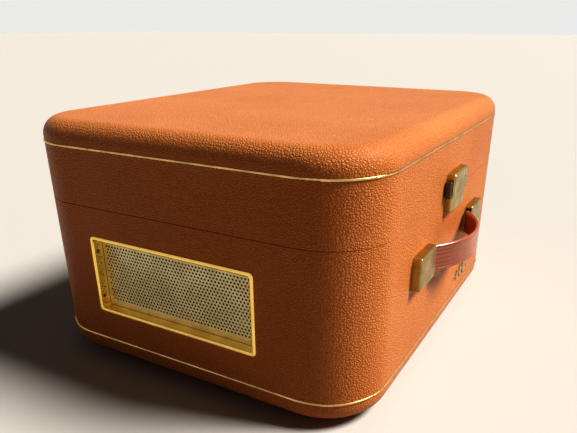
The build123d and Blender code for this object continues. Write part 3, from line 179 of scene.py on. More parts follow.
def blend_colour(tree, mask, low, high):
    """A colour between low and high by a mask; each is a colour or a (node, output) link."""
    node = tree.nodes.new("ShaderNodeMix")
    node.data_type = "RGBA"
    for socket, value in ((node.inputs[0], mask), (node.inputs[6], low), (node.inputs[7], high)):
        if isinstance(value, tuple) and hasattr(value[0], "outputs"):
            tree.links.new(value[0].outputs[value[1]], socket)
        else:
            socket.default_value = value
    return (node, 2)


# Pebble grain: rounded cells of uneven size with creases between them, their outlines wandered by noise
pebble, given, result = start_group(
    "pebble_grain",
    [("Vector", "NodeSocketVector", None), ("Pebbles per metre", "NodeSocketFloat", 480.0)],
    [("Height", "NodeSocketFloat"), ("Crease", "NodeSocketFloat")],
)
wander_reach = 0.0016
wander = add_node(
    pebble,
    "ShaderNodeTexNoise",
    Vector=(given, "Vector"),
    Scale=260.0,
    Detail=1.0,
)
wandered = add_node(pebble, "ShaderNodeVectorMath", {"operation": "MULTIPLY_ADD"})
pebble.links.new(wander.outputs["Color"], wandered.inputs[0])
wandered.inputs[1].default_value = (wander_reach, wander_reach, wander_reach)
pebble.links.new(given.outputs["Vector"], wandered.inputs[2])
cells = add_node(
    pebble,
    "ShaderNodeTexVoronoi",
    {"feature": "DISTANCE_TO_EDGE"},
    Vector=(wandered, 0),
    Scale=(given, "Pebbles per metre"),
    Randomness=0.85,
)
dome_foot = 0.34
dome = add_node(
    pebble, "ShaderNodeMapRange", {"interpolation_type": "SMOOTHERSTEP"}, Value=(cells, 0)
)
dome.inputs["From Max"].default_value = dome_foot
fine = add_node(pebble, "ShaderNodeTexNoise", Vector=(given, "Vector"), Scale=2400.0, Detail=2.0)
fine_share = 0.18
height = maths(pebble, "ADD", (dome, 0), maths(pebble, "MULTIPLY", (fine, 0), fine_share))
pebble.links.new(height[0].outputs[0], result.inputs["Height"])
crease = ramp(pebble, (cells, 0), low=0.16, high=0.02)
pebble.links.new(crease[0].outputs[0], result.inputs["Crease"])

# Slow changes of tone and polish over a surface
mottle, given, result = start_group(
    "mottle",
    [
        ("Vector", "NodeSocketVector", None),
        ("Patches per metre", "NodeSocketFloat", 20.0),
        ("Specks per metre", "NodeSocketFloat", 300.0),
    ],
    [("Patches", "NodeSocketFloat"), ("Specks", "NodeSocketFloat"), ("Fine", "NodeSocketFloat")],
)
patches = add_node(
    mottle,
    "ShaderNodeTexNoise",
    Vector=(given, "Vector"),
    Scale=(given, "Patches per metre"),
    Detail=4.0,
    Roughness=0.55,
)
specks = add_node(
    mottle,
    "ShaderNodeTexNoise",
    Vector=(given, "Vector"),
    Scale=(given, "Specks per metre"),
    Detail=3.0,
)
patch_mask = ramp(mottle, (patches, 0), low=0.36, high=0.66)
speck_mask = ramp(mottle, (specks, 0), low=0.56, high=0.72)
mottle.links.new(patch_mask[0].outputs[0], result.inputs["Patches"])
mottle.links.new(speck_mask[0].outputs[0], result.inputs["Specks"])
mottle.links.new(specks.outputs[0], result.inputs["Fine"])


def start_finish(name, rough=0.5, metal=0.0, coat=0.0, coat_rough=0.1):
    """A new material with what is the same all over; returns it, its tree, its shader and its coordinates."""
    finish = bpy.data.materials.new(name)
    finish.use_nodes = True
    tree = finish.node_tree
    shader = tree.nodes["Principled BSDF"]
    shader.inputs["Roughness"].default_value = rough
    shader.inputs["Metallic"].default_value = metal
    shader.inputs["Coat Weight"].default_value = coat
    shader.inputs["Coat Roughness"].default_value = coat_rough
    place = tree.nodes.new("ShaderNodeTexCoord")
    return finish, tree, shader, (place, "Object")


def use_group(tree, group, place, **values):
    """A copy of a shared group in a material, fed with coordinates and values."""
    node = tree.nodes.new("ShaderNodeGroup")
    node.node_tree = group
    tree.links.new(place[0].outputs[place[1]], node.inputs["Vector"])
    for label, value in values.items():
        node.inputs[label.replace("_", " ")].default_value = value
    return node


def link(tree, source, socket):
    """Joins a (node, output) pair to a socket."""
    tree.links.new(source[0].outputs[source[1]], socket)


def add_bump(tree, shader, height, depth, strength=1.0):
    """Bump on the shader's normal, from a height between 0 and 1 that is depth metres deep."""
    bump = tree.nodes.new("ShaderNodeBump")
    bump.inputs["Strength"].default_value = strength
    bump.inputs["Distance"].default_value = depth
    link(tree, height, bump.inputs["Height"])
    link(tree, (bump, "Normal"), shader.inputs["Normal"])


def paint_nodes(finish, *names):
    """Puts a finish on CAD nodes."""
    for name in names:
        for material_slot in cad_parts[name].material_slots:
            material_slot.material = finish


# Where the inside of the case is: further in than half the wall from its rounded outline, and off its top and bottom
case_low, case_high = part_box("base_shell")
case_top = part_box("lid_shell")[1][2]
corner = 0.054
top_rounding, bottom_rounding = 0.016, 0.014
half_wall = 0.0035
inside, given, result = start_group(
    "inside_case", [("Vector", "NodeSocketVector", None)], [("Inside", "NodeSocketFloat")]
)
centred = add_node(inside, "ShaderNodeVectorMath", {"operation": "SUBTRACT"})
inside.links.new(given.outputs["Vector"], centred.inputs[0])
centred.inputs[1].default_value = (
    (case_low[0] + case_high[0]) / 2,
    (case_low[1] + case_high[1]) / 2,
    0,
)
folded = add_node(inside, "ShaderNodeVectorMath", {"operation": "ABSOLUTE"})
inside.links.new(centred.outputs[0], folded.inputs[0])
reach = add_node(inside, "ShaderNodeSeparateXYZ", Vector=(folded, 0))
past_x = maths(inside, "SUBTRACT", (reach, 0), (case_high[0] - case_low[0]) / 2 - corner)
past_y = maths(inside, "SUBTRACT", (reach, 1), (case_high[1] - case_low[1]) / 2 - corner)
round_x = maths(inside, "MAXIMUM", past_x, 0.0)
round_y = maths(inside, "MAXIMUM", past_y, 0.0)
squares = maths(
    inside,
    "ADD",
    maths(inside, "MULTIPLY", round_x, round_x),
    maths(inside, "MULTIPLY", round_y, round_y),
)
deep = maths(inside, "MINIMUM", maths(inside, "MAXIMUM", past_x, past_y), 0.0)
outline = maths(inside, "ADD", maths(inside, "SQRT", squares), deep)
above = maths(inside, "MAXIMUM", maths(inside, "SUBTRACT", (reach, 2), case_top - top_rounding), 0.0)
below = maths(
    inside, "MAXIMUM", maths(inside, "SUBTRACT", case_low[2] + bottom_rounding, (reach, 2)), 0.0
)


def nearer_than(radius, wall_line, past_edge):
    """Whether a point is nearer than a radius to the rounding's centre line, both along the wall and past it."""
    beside = maths(inside, "MAXIMUM", maths(inside, "SUBTRACT", outline, wall_line), 0.0)
    sum_of_squares = maths(
        inside,
        "ADD",
        maths(inside, "MULTIPLY", beside, beside),
        maths(inside, "MULTIPLY", past_edge, past_edge),
    )
    return maths(inside, "LESS_THAN", sum_of_squares, radius**2)


within = maths(
    inside,
    "MULTIPLY",
    nearer_than(top_rounding - half_wall, corner - top_rounding, above),
    nearer_than(bottom_rounding - half_wall, corner - bottom_rounding, below),
)
inside.links.new(within[0].outputs[0], result.inputs["Inside"])

# Plies and their grain, drawn out along the case
plywood, given, result = start_group(
    "ply_grain", [("Vector", "NodeSocketVector", None)], [("Grain", "NodeSocketFloat")]
)
drawn_out = add_node(plywood, "ShaderNodeMapping", Vector=(given, "Vector"), Scale=(1, 14, 14))
fibres = add_node(
    plywood, "ShaderNodeTexNoise", Vector=(drawn_out, 0), Scale=14.0, Detail=6.0, Roughness=0.6
)
plywood.links.new(fibres.outputs[0], result.inputs["Grain"])


def leathercloth(name, tan, worn, shade, rough, pebbles=480.0, back=None, ply=False):
    """Pebbled leathercloth: creases darkened as painted shade, paler patches and cloudiness, with a bare inner side
    if one is given.
    """
    finish, tree, shader, place = start_finish(name, rough)
    shader.inputs["Specular IOR Level"].default_value = 0.16
    grain = use_group(tree, pebble, place, Pebbles_per_metre=pebbles)
    tone = use_group(tree, mottle, place, Patches_per_metre=9.0, Specks_per_metre=90.0)
    crease_shade_share, polish_spread = 0.55, 0.16
    body = blend_colour(tree, (tone, "Patches"), tan, worn)
    # Painted shade: the creases between the pebbles are darkened towards the shade colour
    painted_crease_shade = maths(tree, "MULTIPLY", (grain, "Crease"), crease_shade_share)
    body = blend_colour(tree, painted_crease_shade, body, shade)
    height = (grain, "Height")
    if back:
        within = use_group(tree, inside, place)
        fibre = use_group(tree, plywood, place)
        stains = (fibre, "Grain") if ply else (tone, "Fine")
        stained = tuple(0.62 * c for c in back)
        bare = blend_colour(tree, stains, stained + (1,), back + (1,))
        body = blend_colour(tree, (within, "Inside"), body, bare)
        height = maths(
            tree, "MULTIPLY", height, maths(tree, "SUBTRACT", 1.0, (within, "Inside"))
        )
    link(tree, body, shader.inputs["Base Color"])
    polish = maths(tree, "MULTIPLY_ADD", (tone, "Fine"), polish_spread)
    polish[0].inputs[2].default_value = rough - polish_spread / 2
    link(tree, polish, shader.inputs["Roughness"])
    add_bump(tree, shader, height, depth=0.00042, strength=0.75)
    return finish


# The third colour of the tan cloth is painted shade, put into the creases between the pebbles
tan, worn_tan, crease_shade_tan = (0.66, 0.232, 0.060, 1), (0.74, 0.278, 0.080, 1), (0.32, 0.080, 0.015, 1)
bare_ply, lid_paper = (0.60, 0.43, 0.25), (0.66, 0.52, 0.33)
base_cloth = leathercloth(
    "tan_leathercloth_on_base", tan, worn_tan, crease_shade_tan, rough=0.42, back=bare_ply, ply=True
)
lid_cloth = leathercloth(
    "tan_leathercloth_on_lid", tan, worn_tan, crease_shade_tan, rough=0.42, back=lid_paper
)
paint_nodes(base_cloth, "base_shell")
paint_nodes(lid_cloth, "lid_shell")

# ---------------------------------------------------------------- SEAM BEADS AND RIM
# Half-round brass wire let into the two seams of the covering, and the gilt metal tongue inside the rim that
# the lid closes over. Drawn, bent to the case's outline and pinned.

# Bright edges, where a rounded normal parts from the true one
worn_edge, given, result = start_group(
    "worn_edge",
    [("Vector", "NodeSocketVector", None), ("Edge width", "NodeSocketFloat", 0.0012)],
    [("Edge", "NodeSocketFloat")],
)
softened = worn_edge.nodes.new("ShaderNodeBevel")
softened.samples = 4
worn_edge.links.new(given.outputs["Edge width"], softened.inputs["Radius"])
true_normal = worn_edge.nodes.new("ShaderNodeNewGeometry")
agree = add_node(worn_edge, "ShaderNodeVectorMath", {"operation": "DOT_PRODUCT"})
worn_edge.links.new(softened.outputs[0], agree.inputs[0])
worn_edge.links.new(true_normal.outputs["Normal"], agree.inputs[1])
parted = ramp(worn_edge, (agree, "Value"), low=0.985, high=0.86)
broken = add_node(worn_edge, "ShaderNodeTexNoise", Vector=(given, "Vector"), Scale=420.0, Detail=3.0)
rubbed = maths(
    worn_edge, "MULTIPLY", parted, maths(worn_edge, "MULTIPLY_ADD", (broken, 0), 1.2), clamp=True
)
worn_edge.links.new(rubbed[0].outputs[0], result.inputs["Edge"])


def worked_metal(name, bright, dull, rough, specks=300.0, dirt=0.25, edge=0.0, metal=1.0):
    """Metal with dull cloudy patches, small dark specks, and brighter rubbed edges of the given width."""
    finish, tree, shader, place = start_finish(name, rough, metal)
    tone = use_group(tree, mottle, place, Patches_per_metre=55.0, Specks_per_metre=specks)
    body = blend_colour(tree, (tone, "Patches"), bright, dull)
    spots = maths(tree, "MULTIPLY", (tone, "Specks"), dirt)
    spot_colour = tuple(0.3 * c for c in dull[:3]) + (1,)
    body = blend_colour(tree, spots, body, spot_colour)
    if edge:
        rub = use_group(tree, worn_edge, place, Edge_width=edge)
        rubbed_bright = tuple(min(1, 1.35 * c) for c in bright[:3]) + (1,)
        body = blend_colour(tree, (rub, "Edge"), body, rubbed_bright)
    link(tree, body, shader.inputs["Base Color"])
    polish = maths(tree, "MULTIPLY_ADD", (tone, "Patches"), 0.12)
    polish[0].inputs[2].default_value = rough
    link(tree, polish, shader.inputs["Roughness"])
    add_bump(tree, shader, (tone, "Fine"), depth=0.00003, strength=0.5)
    return finish


bead_brass = worked_metal(
    "bead_brass", (0.78, 0.55, 0.24, 1), (0.50, 0.34, 0.14, 1), rough=0.26, specks=200.0, dirt=0.5
)
paint_nodes(bead_brass, "base_bead", "lid_bead")
rim_gilt = worked_metal(
    "rim_gilt", (0.74, 0.55, 0.27, 1), (0.60, 0.44, 0.21, 1), rough=0.34, specks=240.0, dirt=0.3
)
paint_nodes(rim_gilt, "rim_tongue")

# ---------------------------------------------------------------- SPEAKER OPENING
# A deep pressed bezel of bright lacquered brass in the left wall, held by two pins at each end, with a
# perforated sheet of duller brass as its floor.

bezel_brass = worked_metal(
    "bezel_brass", (0.98, 0.70, 0.20, 1), (0.88, 0.60, 0.16, 1), rough=0.12, specks=260.0, dirt=0.12
)
paint_nodes(bezel_brass, "speaker_bezel")
pin_brass = worked_metal("pin_brass", (0.34, 0.22, 0.08, 1), (0.16, 0.10, 0.04, 1), rough=0.35)
paint_nodes(pin_brass, "bezel_pins")
grille_brass = worked_metal(
    "grille_brass", (0.56, 0.47, 0.27, 1), (0.47, 0.38, 0.20, 1), rough=0.36, specks=420.0, dirt=0.2
)
paint_nodes(grille_brass, "speaker_grille")

# ---------------------------------------------------------------- SPEAKER
# A pressed steel basket with a felted paper cone and a plated magnet pot. It is screwed behind a raw plywood
# baffle, which is screwed to the left wall.


def bare_wood(name, pale, dark):
    """Raw plywood with fine drawn-out fibres."""
    finish, tree, shader, place = start_finish(name, rough=0.78)
    fibre = use_group(tree, plywood, place)
    mask = ramp(tree, (fibre, "Grain"), low=0.34, high=0.66)
    link(tree, blend_colour(tree, mask, dark, pale), shader.inputs["Base Color"])
    add_bump(tree, shader, (fibre, "Grain"), depth=0.0002, strength=0.5)
    return finish


def felted(name, pale, dark, rough=0.9, fibres_per_metre=1800.0, depth=0.00012):
    """Paper, card or wrap: short fibres and slow stains."""
    finish, tree, shader, place = start_finish(name, rough)
    tone = use_group(tree, mottle, place, Patches_per_metre=30.0, Specks_per_metre=fibres_per_metre)
    body = blend_colour(tree, (tone, "Patches"), pale, dark)
    body = blend_colour(tree, maths(tree, "MULTIPLY", (tone, "Specks"), 0.45), body, dark)
    link(tree, body, shader.inputs["Base Color"])
    add_bump(tree, shader, (tone, "Fine"), depth, strength=0.7)
    return finish


baffle_ply = bare_wood("baffle_ply", (0.62, 0.45, 0.26, 1), (0.40, 0.26, 0.13, 1))
paint_nodes(baffle_ply, "speaker_baffle")
basket_zinc = worked_metal("basket_zinc", (0.55, 0.56, 0.54, 1), (0.40, 0.41, 0.40, 1), rough=0.38)
paint_nodes(basket_zinc, "speaker_basket")
cone_paper = felted("cone_paper", (0.045, 0.040, 0.036, 1), (0.020, 0.018, 0.016, 1))
paint_nodes(cone_paper, "speaker_cone")
magnet_plating = worked_metal(
    "magnet_plating",
    (0.46, 0.46, 0.47, 1),
    (0.30, 0.30, 0.31, 1),
    rough=0.32,
    specks=300.0,
    dirt=0.5,
    edge=0.0012,
)
paint_nodes(magnet_plating, "speaker_magnet")

# ---------------------------------------------------------------- LATCH
# A heavy brass case on the lid over a brass strike on the base, both gone olive with age and bright at the
# edges, and a dark moulded squeeze button at each side.

aged_brass = worked_metal(
    "aged_brass",
    (0.50, 0.36, 0.115, 1),
    (0.31, 0.21, 0.062, 1),
    rough=0.24,
    specks=360.0,
    dirt=0.3,
    edge=0.0011,
)
paint_nodes(aged_brass, "latch_case", "latch_strike")


def moulded(name, colour, tint, rough=0.28, coat=0.25):
    """Moulded plastic with a slight flow in its colour, fine scratches in its polish and rubbed edges."""
    finish, tree, shader, place = start_finish(name, rough, coat=coat, coat_rough=0.12)
    tone = use_group(tree, mottle, place, Patches_per_metre=40.0, Specks_per_metre=900.0)
    rub = use_group(tree, worn_edge, place, Edge_width=0.0006)
    body = blend_colour(tree, (tone, "Patches"), colour, tint)
    rubbed_pale = tuple(min(1, 1.25 * c + 0.02) for c in colour[:3]) + (1,)
    body = blend_colour(tree, maths(tree, "MULTIPLY", (rub, "Edge"), 0.35), body, rubbed_pale)
    link(tree, body, shader.inputs["Base Color"])
    polish = maths(tree, "MULTIPLY_ADD", (tone, "Specks"), 0.2)
    polish[0].inputs[2].default_value = rough
    link(tree, polish, shader.inputs["Roughness"])
    add_bump(tree, shader, (tone, "Fine"), depth=0.00002, strength=0.4)
    return finish


button_moulding = moulded(
    "button_moulding", (0.040, 0.012, 0.006, 1), (0.028, 0.008, 0.004, 1), rough=0.18, coat=0.6
)
paint_nodes(button_moulding, "latch_button_left", "latch_button_right")

# ---------------------------------------------------------------- HANDLE
# Two folded brass covers on studs, and a strap of waxed reddish leather with ribs pressed along its outer
# side. It bows out between the covers and its thinned ends run straight into them.

paint_nodes(aged_brass, "handle_bracket_left", "handle_bracket_right")

MM = 0.001
strap_low, strap_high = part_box("handle_strap")
strap_middle_z = (strap_low[2] + strap_high[2]) / 2
strap_half_height = (strap_high[2] - strap_low[2]) / 2
cover_mouth_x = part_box("handle_bracket_right")[0][0]
strap_half_thickness = 1.8 * MM
rib_count, ribbed_share, rib_depth = 5, 0.82, 0.00055
outer_flat, outer_round = 0.90, 0.10
inner_flat, inner_round = 0.88, 0.12
bow = 22.0 * MM
bend_radius = 12.0 * MM
bow_steps, bend_steps = 26, 8
tongue_runs = (6, 8, 8)
thinning_run = 4 * MM
thinned, narrowed = 0.30, 0.09
bow_turn = 2 * math.atan(bow / cover_mouth_x)
bow_radius = cover_mouth_x / math.sin(bow_turn) - bend_radius
bow_line_y = strap_low[1] + strap_half_thickness
tongue_line_y = bow_line_y + bow

# Section: a flat inner side, rounded edges and five ribs on the outer side
outer_steps, inner_steps = 20, 10
section = []
for step in range(2 * outer_steps + 1):
    across = -1 + step / outer_steps
    if abs(across) < ribbed_share:
        rib = 0.5 + 0.5 * math.cos(across * rib_count / ribbed_share * math.pi)
    else:
        rib = 1.0
    edge_round = max(0.0, abs(across) - outer_flat) / outer_round
    out = strap_half_thickness * math.sqrt(max(0.0, 1 - edge_round**2)) - rib_depth * (1 - rib)
    section.append((bow_line_y - out, across * strap_half_height))
for step in range(2 * inner_steps - 1, 0, -1):
    across = -1 + step / inner_steps
    edge_round = max(0.0, abs(across) - inner_flat) / inner_round
    out = strap_half_thickness * math.sqrt(max(0.0, 1 - edge_round**2))
    section.append((bow_line_y + out, across * strap_half_height))

bpy.ops.object.select_all(action="DESELECT")
bpy.ops.mesh.primitive_circle_add(vertices=len(section), radius=0.01, location=(0, 0, 0))
strap = bpy.context.object
strap.name = "ribbed_strap"
for vertex, (y, z) in zip(strap.data.vertices, section):
    vertex.co = (0, y, strap_middle_z + z)
bpy.ops.object.mode_set(mode="EDIT")
bpy.ops.mesh.select_all(action="SELECT")
bpy.ops.mesh.spin(
    steps=bow_steps, angle=-bow_turn, center=(0, bow_line_y + bow_radius, 0), axis=(0, 0, 1)
)
bpy.ops.mesh.spin(
    steps=bend_steps,
    angle=bow_turn,
    center=(cover_mouth_x, tongue_line_y - bend_radius, 0),
    axis=(0, 0, 1),
)
for run in tongue_runs:
    bpy.ops.mesh.extrude_region_move(TRANSFORM_OT_translate={"value": (run * MM, 0, 0)})
bpy.ops.mesh.edge_face_add()
bpy.ops.object.mode_set(mode="OBJECT")
for vertex in strap.data.vertices:
    inward = min(1.0, max(0.0, (vertex.co.x - cover_mouth_x + thinning_run) / thinning_run))
    if inward > 0:
        thin, narrow = 1 - thinned * inward, 1 - narrowed * inward
        vertex.co.y = tongue_line_y + (vertex.co.y - tongue_line_y) * thin
        vertex.co.z = strap_middle_z + (vertex.co.z - strap_middle_z) * narrow
mirror = strap.modifiers.new("other_half", "MIRROR")
mirror.use_axis = (True, False, False)
mirror.merge_threshold = 0.00005
bpy.ops.object.modifier_apply(modifier="other_half")
bpy.ops.object.mode_set(mode="EDIT")
bpy.ops.mesh.select_all(action="SELECT")
bpy.ops.mesh.remove_doubles(threshold=0.00001)
bpy.ops.mesh.normals_make_consistent(inside=False)
bpy.ops.object.mode_set(mode="OBJECT")
bpy.ops.object.shade_smooth_by_angle(angle=math.radians(50))

strap_leather, tree, shader, place = start_finish(
    "waxed_strap_leather", rough=0.24, coat=0.55, coat_rough=0.16
)
tone = use_group(tree, mottle, place, Patches_per_metre=60.0, Specks_per_metre=700.0)
rub = use_group(tree, worn_edge, place, Edge_width=0.0009)
body = blend_colour(tree, (tone, "Patches"), (0.43, 0.100, 0.034, 1), (0.33, 0.068, 0.022, 1))
body = blend_colour(tree, maths(tree, "MULTIPLY", (tone, "Specks"), 0.4), body, (0.24, 0.036, 0.010, 1))
body = blend_colour(tree, maths(tree, "MULTIPLY", (rub, "Edge"), 0.55), body, (0.62, 0.19, 0.050, 1))
link(tree, body, shader.inputs["Base Color"])
add_bump(tree, shader, (tone, "Fine"), depth=0.00012, strength=0.6)
strap.data.materials.append(strap_leather)
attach(strap, "handle")
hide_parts("handle_strap")

# ---------------------------------------------------------------- ORNAMENT
# A small brass trim pinned below the handle: a slim tapered bar that rises to the right, with five upright
# lozenges on it. Stamped from sheet, with bevelled edges.

trim_low, trim_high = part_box("badge")
trim_middle = Vector(
    ((trim_low[0] + trim_high[0]) / 2, trim_high[1], (trim_low[2] + trim_high[2]) / 2)
)
trim_thickness = trim_high[1] - trim_low[1]
rise = math.radians(6)
side_share, bevel_share, bevel_width = 0.55, 0.45, 0.7 * MM
trim_pieces = []
# Place along the bar, half length and half height in millimetres, and share of the trim's thickness
for along, half_length, half_height, thick in (
    (0, 39.5, 1.6, 0.6),
    (-26, 4.6, 6.0, 0.85),
    (-13, 5.0, 7.6, 0.85),
    (0, 6.2, 10.2, 1.0),
    (13, 5.0, 7.6, 0.85),
    (26, 4.6, 6.0, 0.85),
):
    bpy.ops.object.select_all(action="DESELECT")
    bpy.ops.mesh.primitive_circle_add(vertices=4, radius=1, fill_type="NGON", location=(0, 0, 0))
    lozenge = bpy.context.object
    for vertex in lozenge.data.vertices:
        flat_x, flat_z = vertex.co.x * half_length * MM, vertex.co.y * half_height * MM
        vertex.co = (flat_x, 0, flat_z)
    bpy.ops.object.mode_set(mode="EDIT")
    bpy.ops.mesh.select_all(action="SELECT")
    bpy.ops.mesh.extrude_region_move(
        TRANSFORM_OT_translate={"value": (0, -side_share * thick * trim_thickness, 0)}
    )
    bpy.ops.mesh.inset(thickness=bevel_width, depth=0)
    bpy.ops.transform.translate(value=(0, -bevel_share * thick * trim_thickness, 0))
    bpy.ops.mesh.select_all(action="SELECT")
    bpy.ops.mesh.normals_make_consistent(inside=False)
    bpy.ops.object.mode_set(mode="OBJECT")
    for vertex in lozenge.data.vertices:
        x, z = vertex.co.x + along * MM, vertex.co.z
        vertex.co.x = trim_middle.x + x * math.cos(rise) - z * math.sin(rise)
        vertex.co.z = trim_middle.z + x * math.sin(rise) + z * math.cos(rise)
        vertex.co.y += trim_middle.y
    trim_pieces.append(lozenge)
bpy.ops.object.select_all(action="DESELECT")
for lozenge in trim_pieces:
    lozenge.select_set(True)
bpy.context.view_layer.objects.active = trim_pieces[0]
bpy.ops.object.join()
ornament = bpy.context.object
ornament.name = "lozenge_ornament"
trim_brass = worked_metal(
    "trim_brass",
    (0.52, 0.37, 0.15, 1),
    (0.24, 0.16, 0.07, 1),
    rough=0.24,
    specks=500.0,
    dirt=0.8,
    edge=0.0008,
)
ornament.data.materials.append(trim_brass)
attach(ornament, "base")
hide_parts("badge")

# ---------------------------------------------------------------- FEET, VENT AND MAINS INLET
# Four turned rubber feet on sunk screws, a slotted steel cover over the vent in the floor, and a moulded inlet
# with two plated pins in the back wall.


def rubber(name, colour, rough=0.75):
    """Matt rubber with a bloom of pale dust."""
    finish, tree, shader, place = start_finish(name, rough)
    tone = use_group(tree, mottle, place, Patches_per_metre=70.0, Specks_per_metre=1100.0)
    bloom = tuple(min(1, 1.8 * c + 0.02) for c in colour[:3]) + (1,)
    body = blend_colour(tree, (tone, "Patches"), colour, bloom)
    dust = maths(tree, "MULTIPLY", (tone, "Specks"), 0.3)
    body = blend_colour(tree, dust, body, (0.22, 0.20, 0.18, 1))
    link(tree, body, shader.inputs["Base Color"])
    add_bump(tree, shader, (tone, "Fine"), depth=0.00008, strength=0.6)
    return finish


black_rubber = rubber("black_rubber", (0.022, 0.021, 0.020, 1))
paint_nodes(black_rubber, "rubber_feet", "chassis_grommets")


def enamel(name, colour, shade, rough=0.3, coat=0.5):
    """Stoved paint with a slight orange peel and chipped, greyer edges."""
    finish, tree, shader, place = start_finish(name, rough, coat=coat)
    tone = use_group(tree, mottle, place, Patches_per_metre=14.0, Specks_per_metre=420.0)
    rub = use_group(tree, worn_edge, place, Edge_width=0.0005)
    body = blend_colour(tree, (tone, "Patches"), colour, shade)
    chipped = maths(tree, "MULTIPLY", (rub, "Edge"), 0.3)
    body = blend_colour(tree, chipped, body, (0.42, 0.40, 0.36, 1))
    link(tree, body, shader.inputs["Base Color"])
    add_bump(tree, shader, (tone, "Fine"), depth=0.00005, strength=0.4)
    return finish


vent_paint = enamel("vent_paint", (0.030, 0.027, 0.024, 1), (0.045, 0.040, 0.036, 1), rough=0.5, coat=0.1)
paint_nodes(vent_paint, "vent_cover")
inlet_moulding = moulded(
    "inlet_bakelite", (0.060, 0.024, 0.012, 1), (0.035, 0.014, 0.008, 1), rough=0.25, coat=0.4
)
paint_nodes(inlet_moulding, "mains_inlet")
plated_brass = worked_metal(
    "plated_brass",
    (0.72, 0.55, 0.26, 1),
    (0.55, 0.40, 0.18, 1),
    rough=0.22,
    specks=400.0,
    dirt=0.2,
    edge=0.0005,
)
paint_nodes(plated_brass, "mains_inlet_pins")

# ---------------------------------------------------------------- HINGES
# Two brass butt hinges on the back, stamped and rolled into three knuckles each round a riveted pin, and held by
# slotted screws.

hinge_brass = worked_metal(
    "hinge_brass",
    (0.62, 0.44, 0.18, 1),
    (0.38, 0.25, 0.10, 1),
    rough=0.28,
    specks=380.0,
    dirt=0.5,
    edge=0.0009,
)
paint_nodes(hinge_brass, "hinge_base_leaves", "hinge_lid_leaves", "hinge_lid_screws")

# ---------------------------------------------------------------- LID LINING
# A sheet of paper-faced card glued under the lid's top, inside its walls. The paper has aged to the colour of
# straw.

lining_card = felted(
    "lining_card", (0.60, 0.46, 0.27, 1), (0.55, 0.42, 0.245, 1), rough=0.85, fibres_per_metre=900.0
)
paint_nodes(lining_card, "lid_lining")

# ---------------------------------------------------------------- DECK AND CONTROLS
# A plywood deck in cream leathercloth, a gilt plate with a red pilot lamp, and two fluted cream knobs on plated
# potentiometers.

# The third colour of the cream cloth is painted shade, put into the creases between the pebbles
cream, worn_cream, crease_shade_cream = (0.46, 0.33, 0.18, 1), (0.52, 0.38, 0.21, 1), (0.28, 0.18, 0.08, 1)
deck_cloth = leathercloth(
    "cream_leathercloth", cream, worn_cream, crease_shade_cream, rough=0.5, pebbles=620.0
)
paint_nodes(deck_cloth, "deck_panel")


def brushed(name, bright, dull, rough=0.3, lines=(6.0, 900.0, 900.0)):
    """Metal brushed along one direction."""
    finish, tree, shader, place = start_finish(name, rough, metal=1.0)
    strokes = add_node(tree, "ShaderNodeMapping", Vector=place, Scale=lines)
    stroke = add_node(tree, "ShaderNodeTexNoise", Vector=(strokes, 0), Scale=1.0, Detail=3.0)
    mask = ramp(tree, (stroke, 0), low=0.38, high=0.64)
    link(tree, blend_colour(tree, mask, dull, bright), shader.inputs["Base Color"])
    polish = maths(tree, "MULTIPLY_ADD", mask, 0.14)
    polish[0].inputs[2].default_value = rough
    link(tree, polish, shader.inputs["Roughness"])
    add_bump(tree, shader, mask, depth=0.00003, strength=0.4)
    return finish


gilt_plate = brushed("gilt_plate", (0.80, 0.60, 0.27, 1), (0.62, 0.45, 0.19, 1))
paint_nodes(gilt_plate, "control_plate")
cream_moulding = moulded("cream_moulding", (0.62, 0.51, 0.33, 1), (0.56, 0.45, 0.28, 1), rough=0.26, coat=0.4)
paint_nodes(cream_moulding, "tone_knob", "volume_knob", "speed_knob")
zinc = worked_metal(
    "zinc_plating",
    (0.60, 0.60, 0.58, 1),
    (0.44, 0.44, 0.42, 1),
    rough=0.32,
    specks=500.0,
    dirt=0.4,
    edge=0.0005,
)
paint_nodes(zinc, "potentiometers", "base_fasteners")

lamp_red, tree, shader, place = start_finish("lamp_red", rough=0.12, coat=0.8, coat_rough=0.05)
shader.inputs["Transmission Weight"].default_value = 0.35
tone = use_group(tree, mottle, place, Patches_per_metre=160.0, Specks_per_metre=900.0)
body = blend_colour(tree, (tone, "Patches"), (0.62, 0.016, 0.010, 1), (0.44, 0.010, 0.006, 1))
link(tree, body, shader.inputs["Base Color"])
add_bump(tree, shader, (tone, "Fine"), depth=0.00003, strength=0.4)
paint_nodes(lamp_red, "pilot_lamp")

# ---------------------------------------------------------------- TURNTABLE
# A pressed steel unit plate and platter in cream enamel, a ribbed rubber mat, a polished spindle in a turned
# bearing, and a light idler wheel with a ground rubber tyre.

cream_enamel = enamel("cream_enamel", (0.56, 0.47, 0.31, 1), (0.51, 0.42, 0.27, 1))
paint_nodes(cream_enamel, "turntable_chassis")

spindle_low, spindle_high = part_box("spindle")
spindle_x = (spindle_low[0] + spindle_high[0]) / 2
spindle_y = (spindle_low[1] + spindle_high[1]) / 2


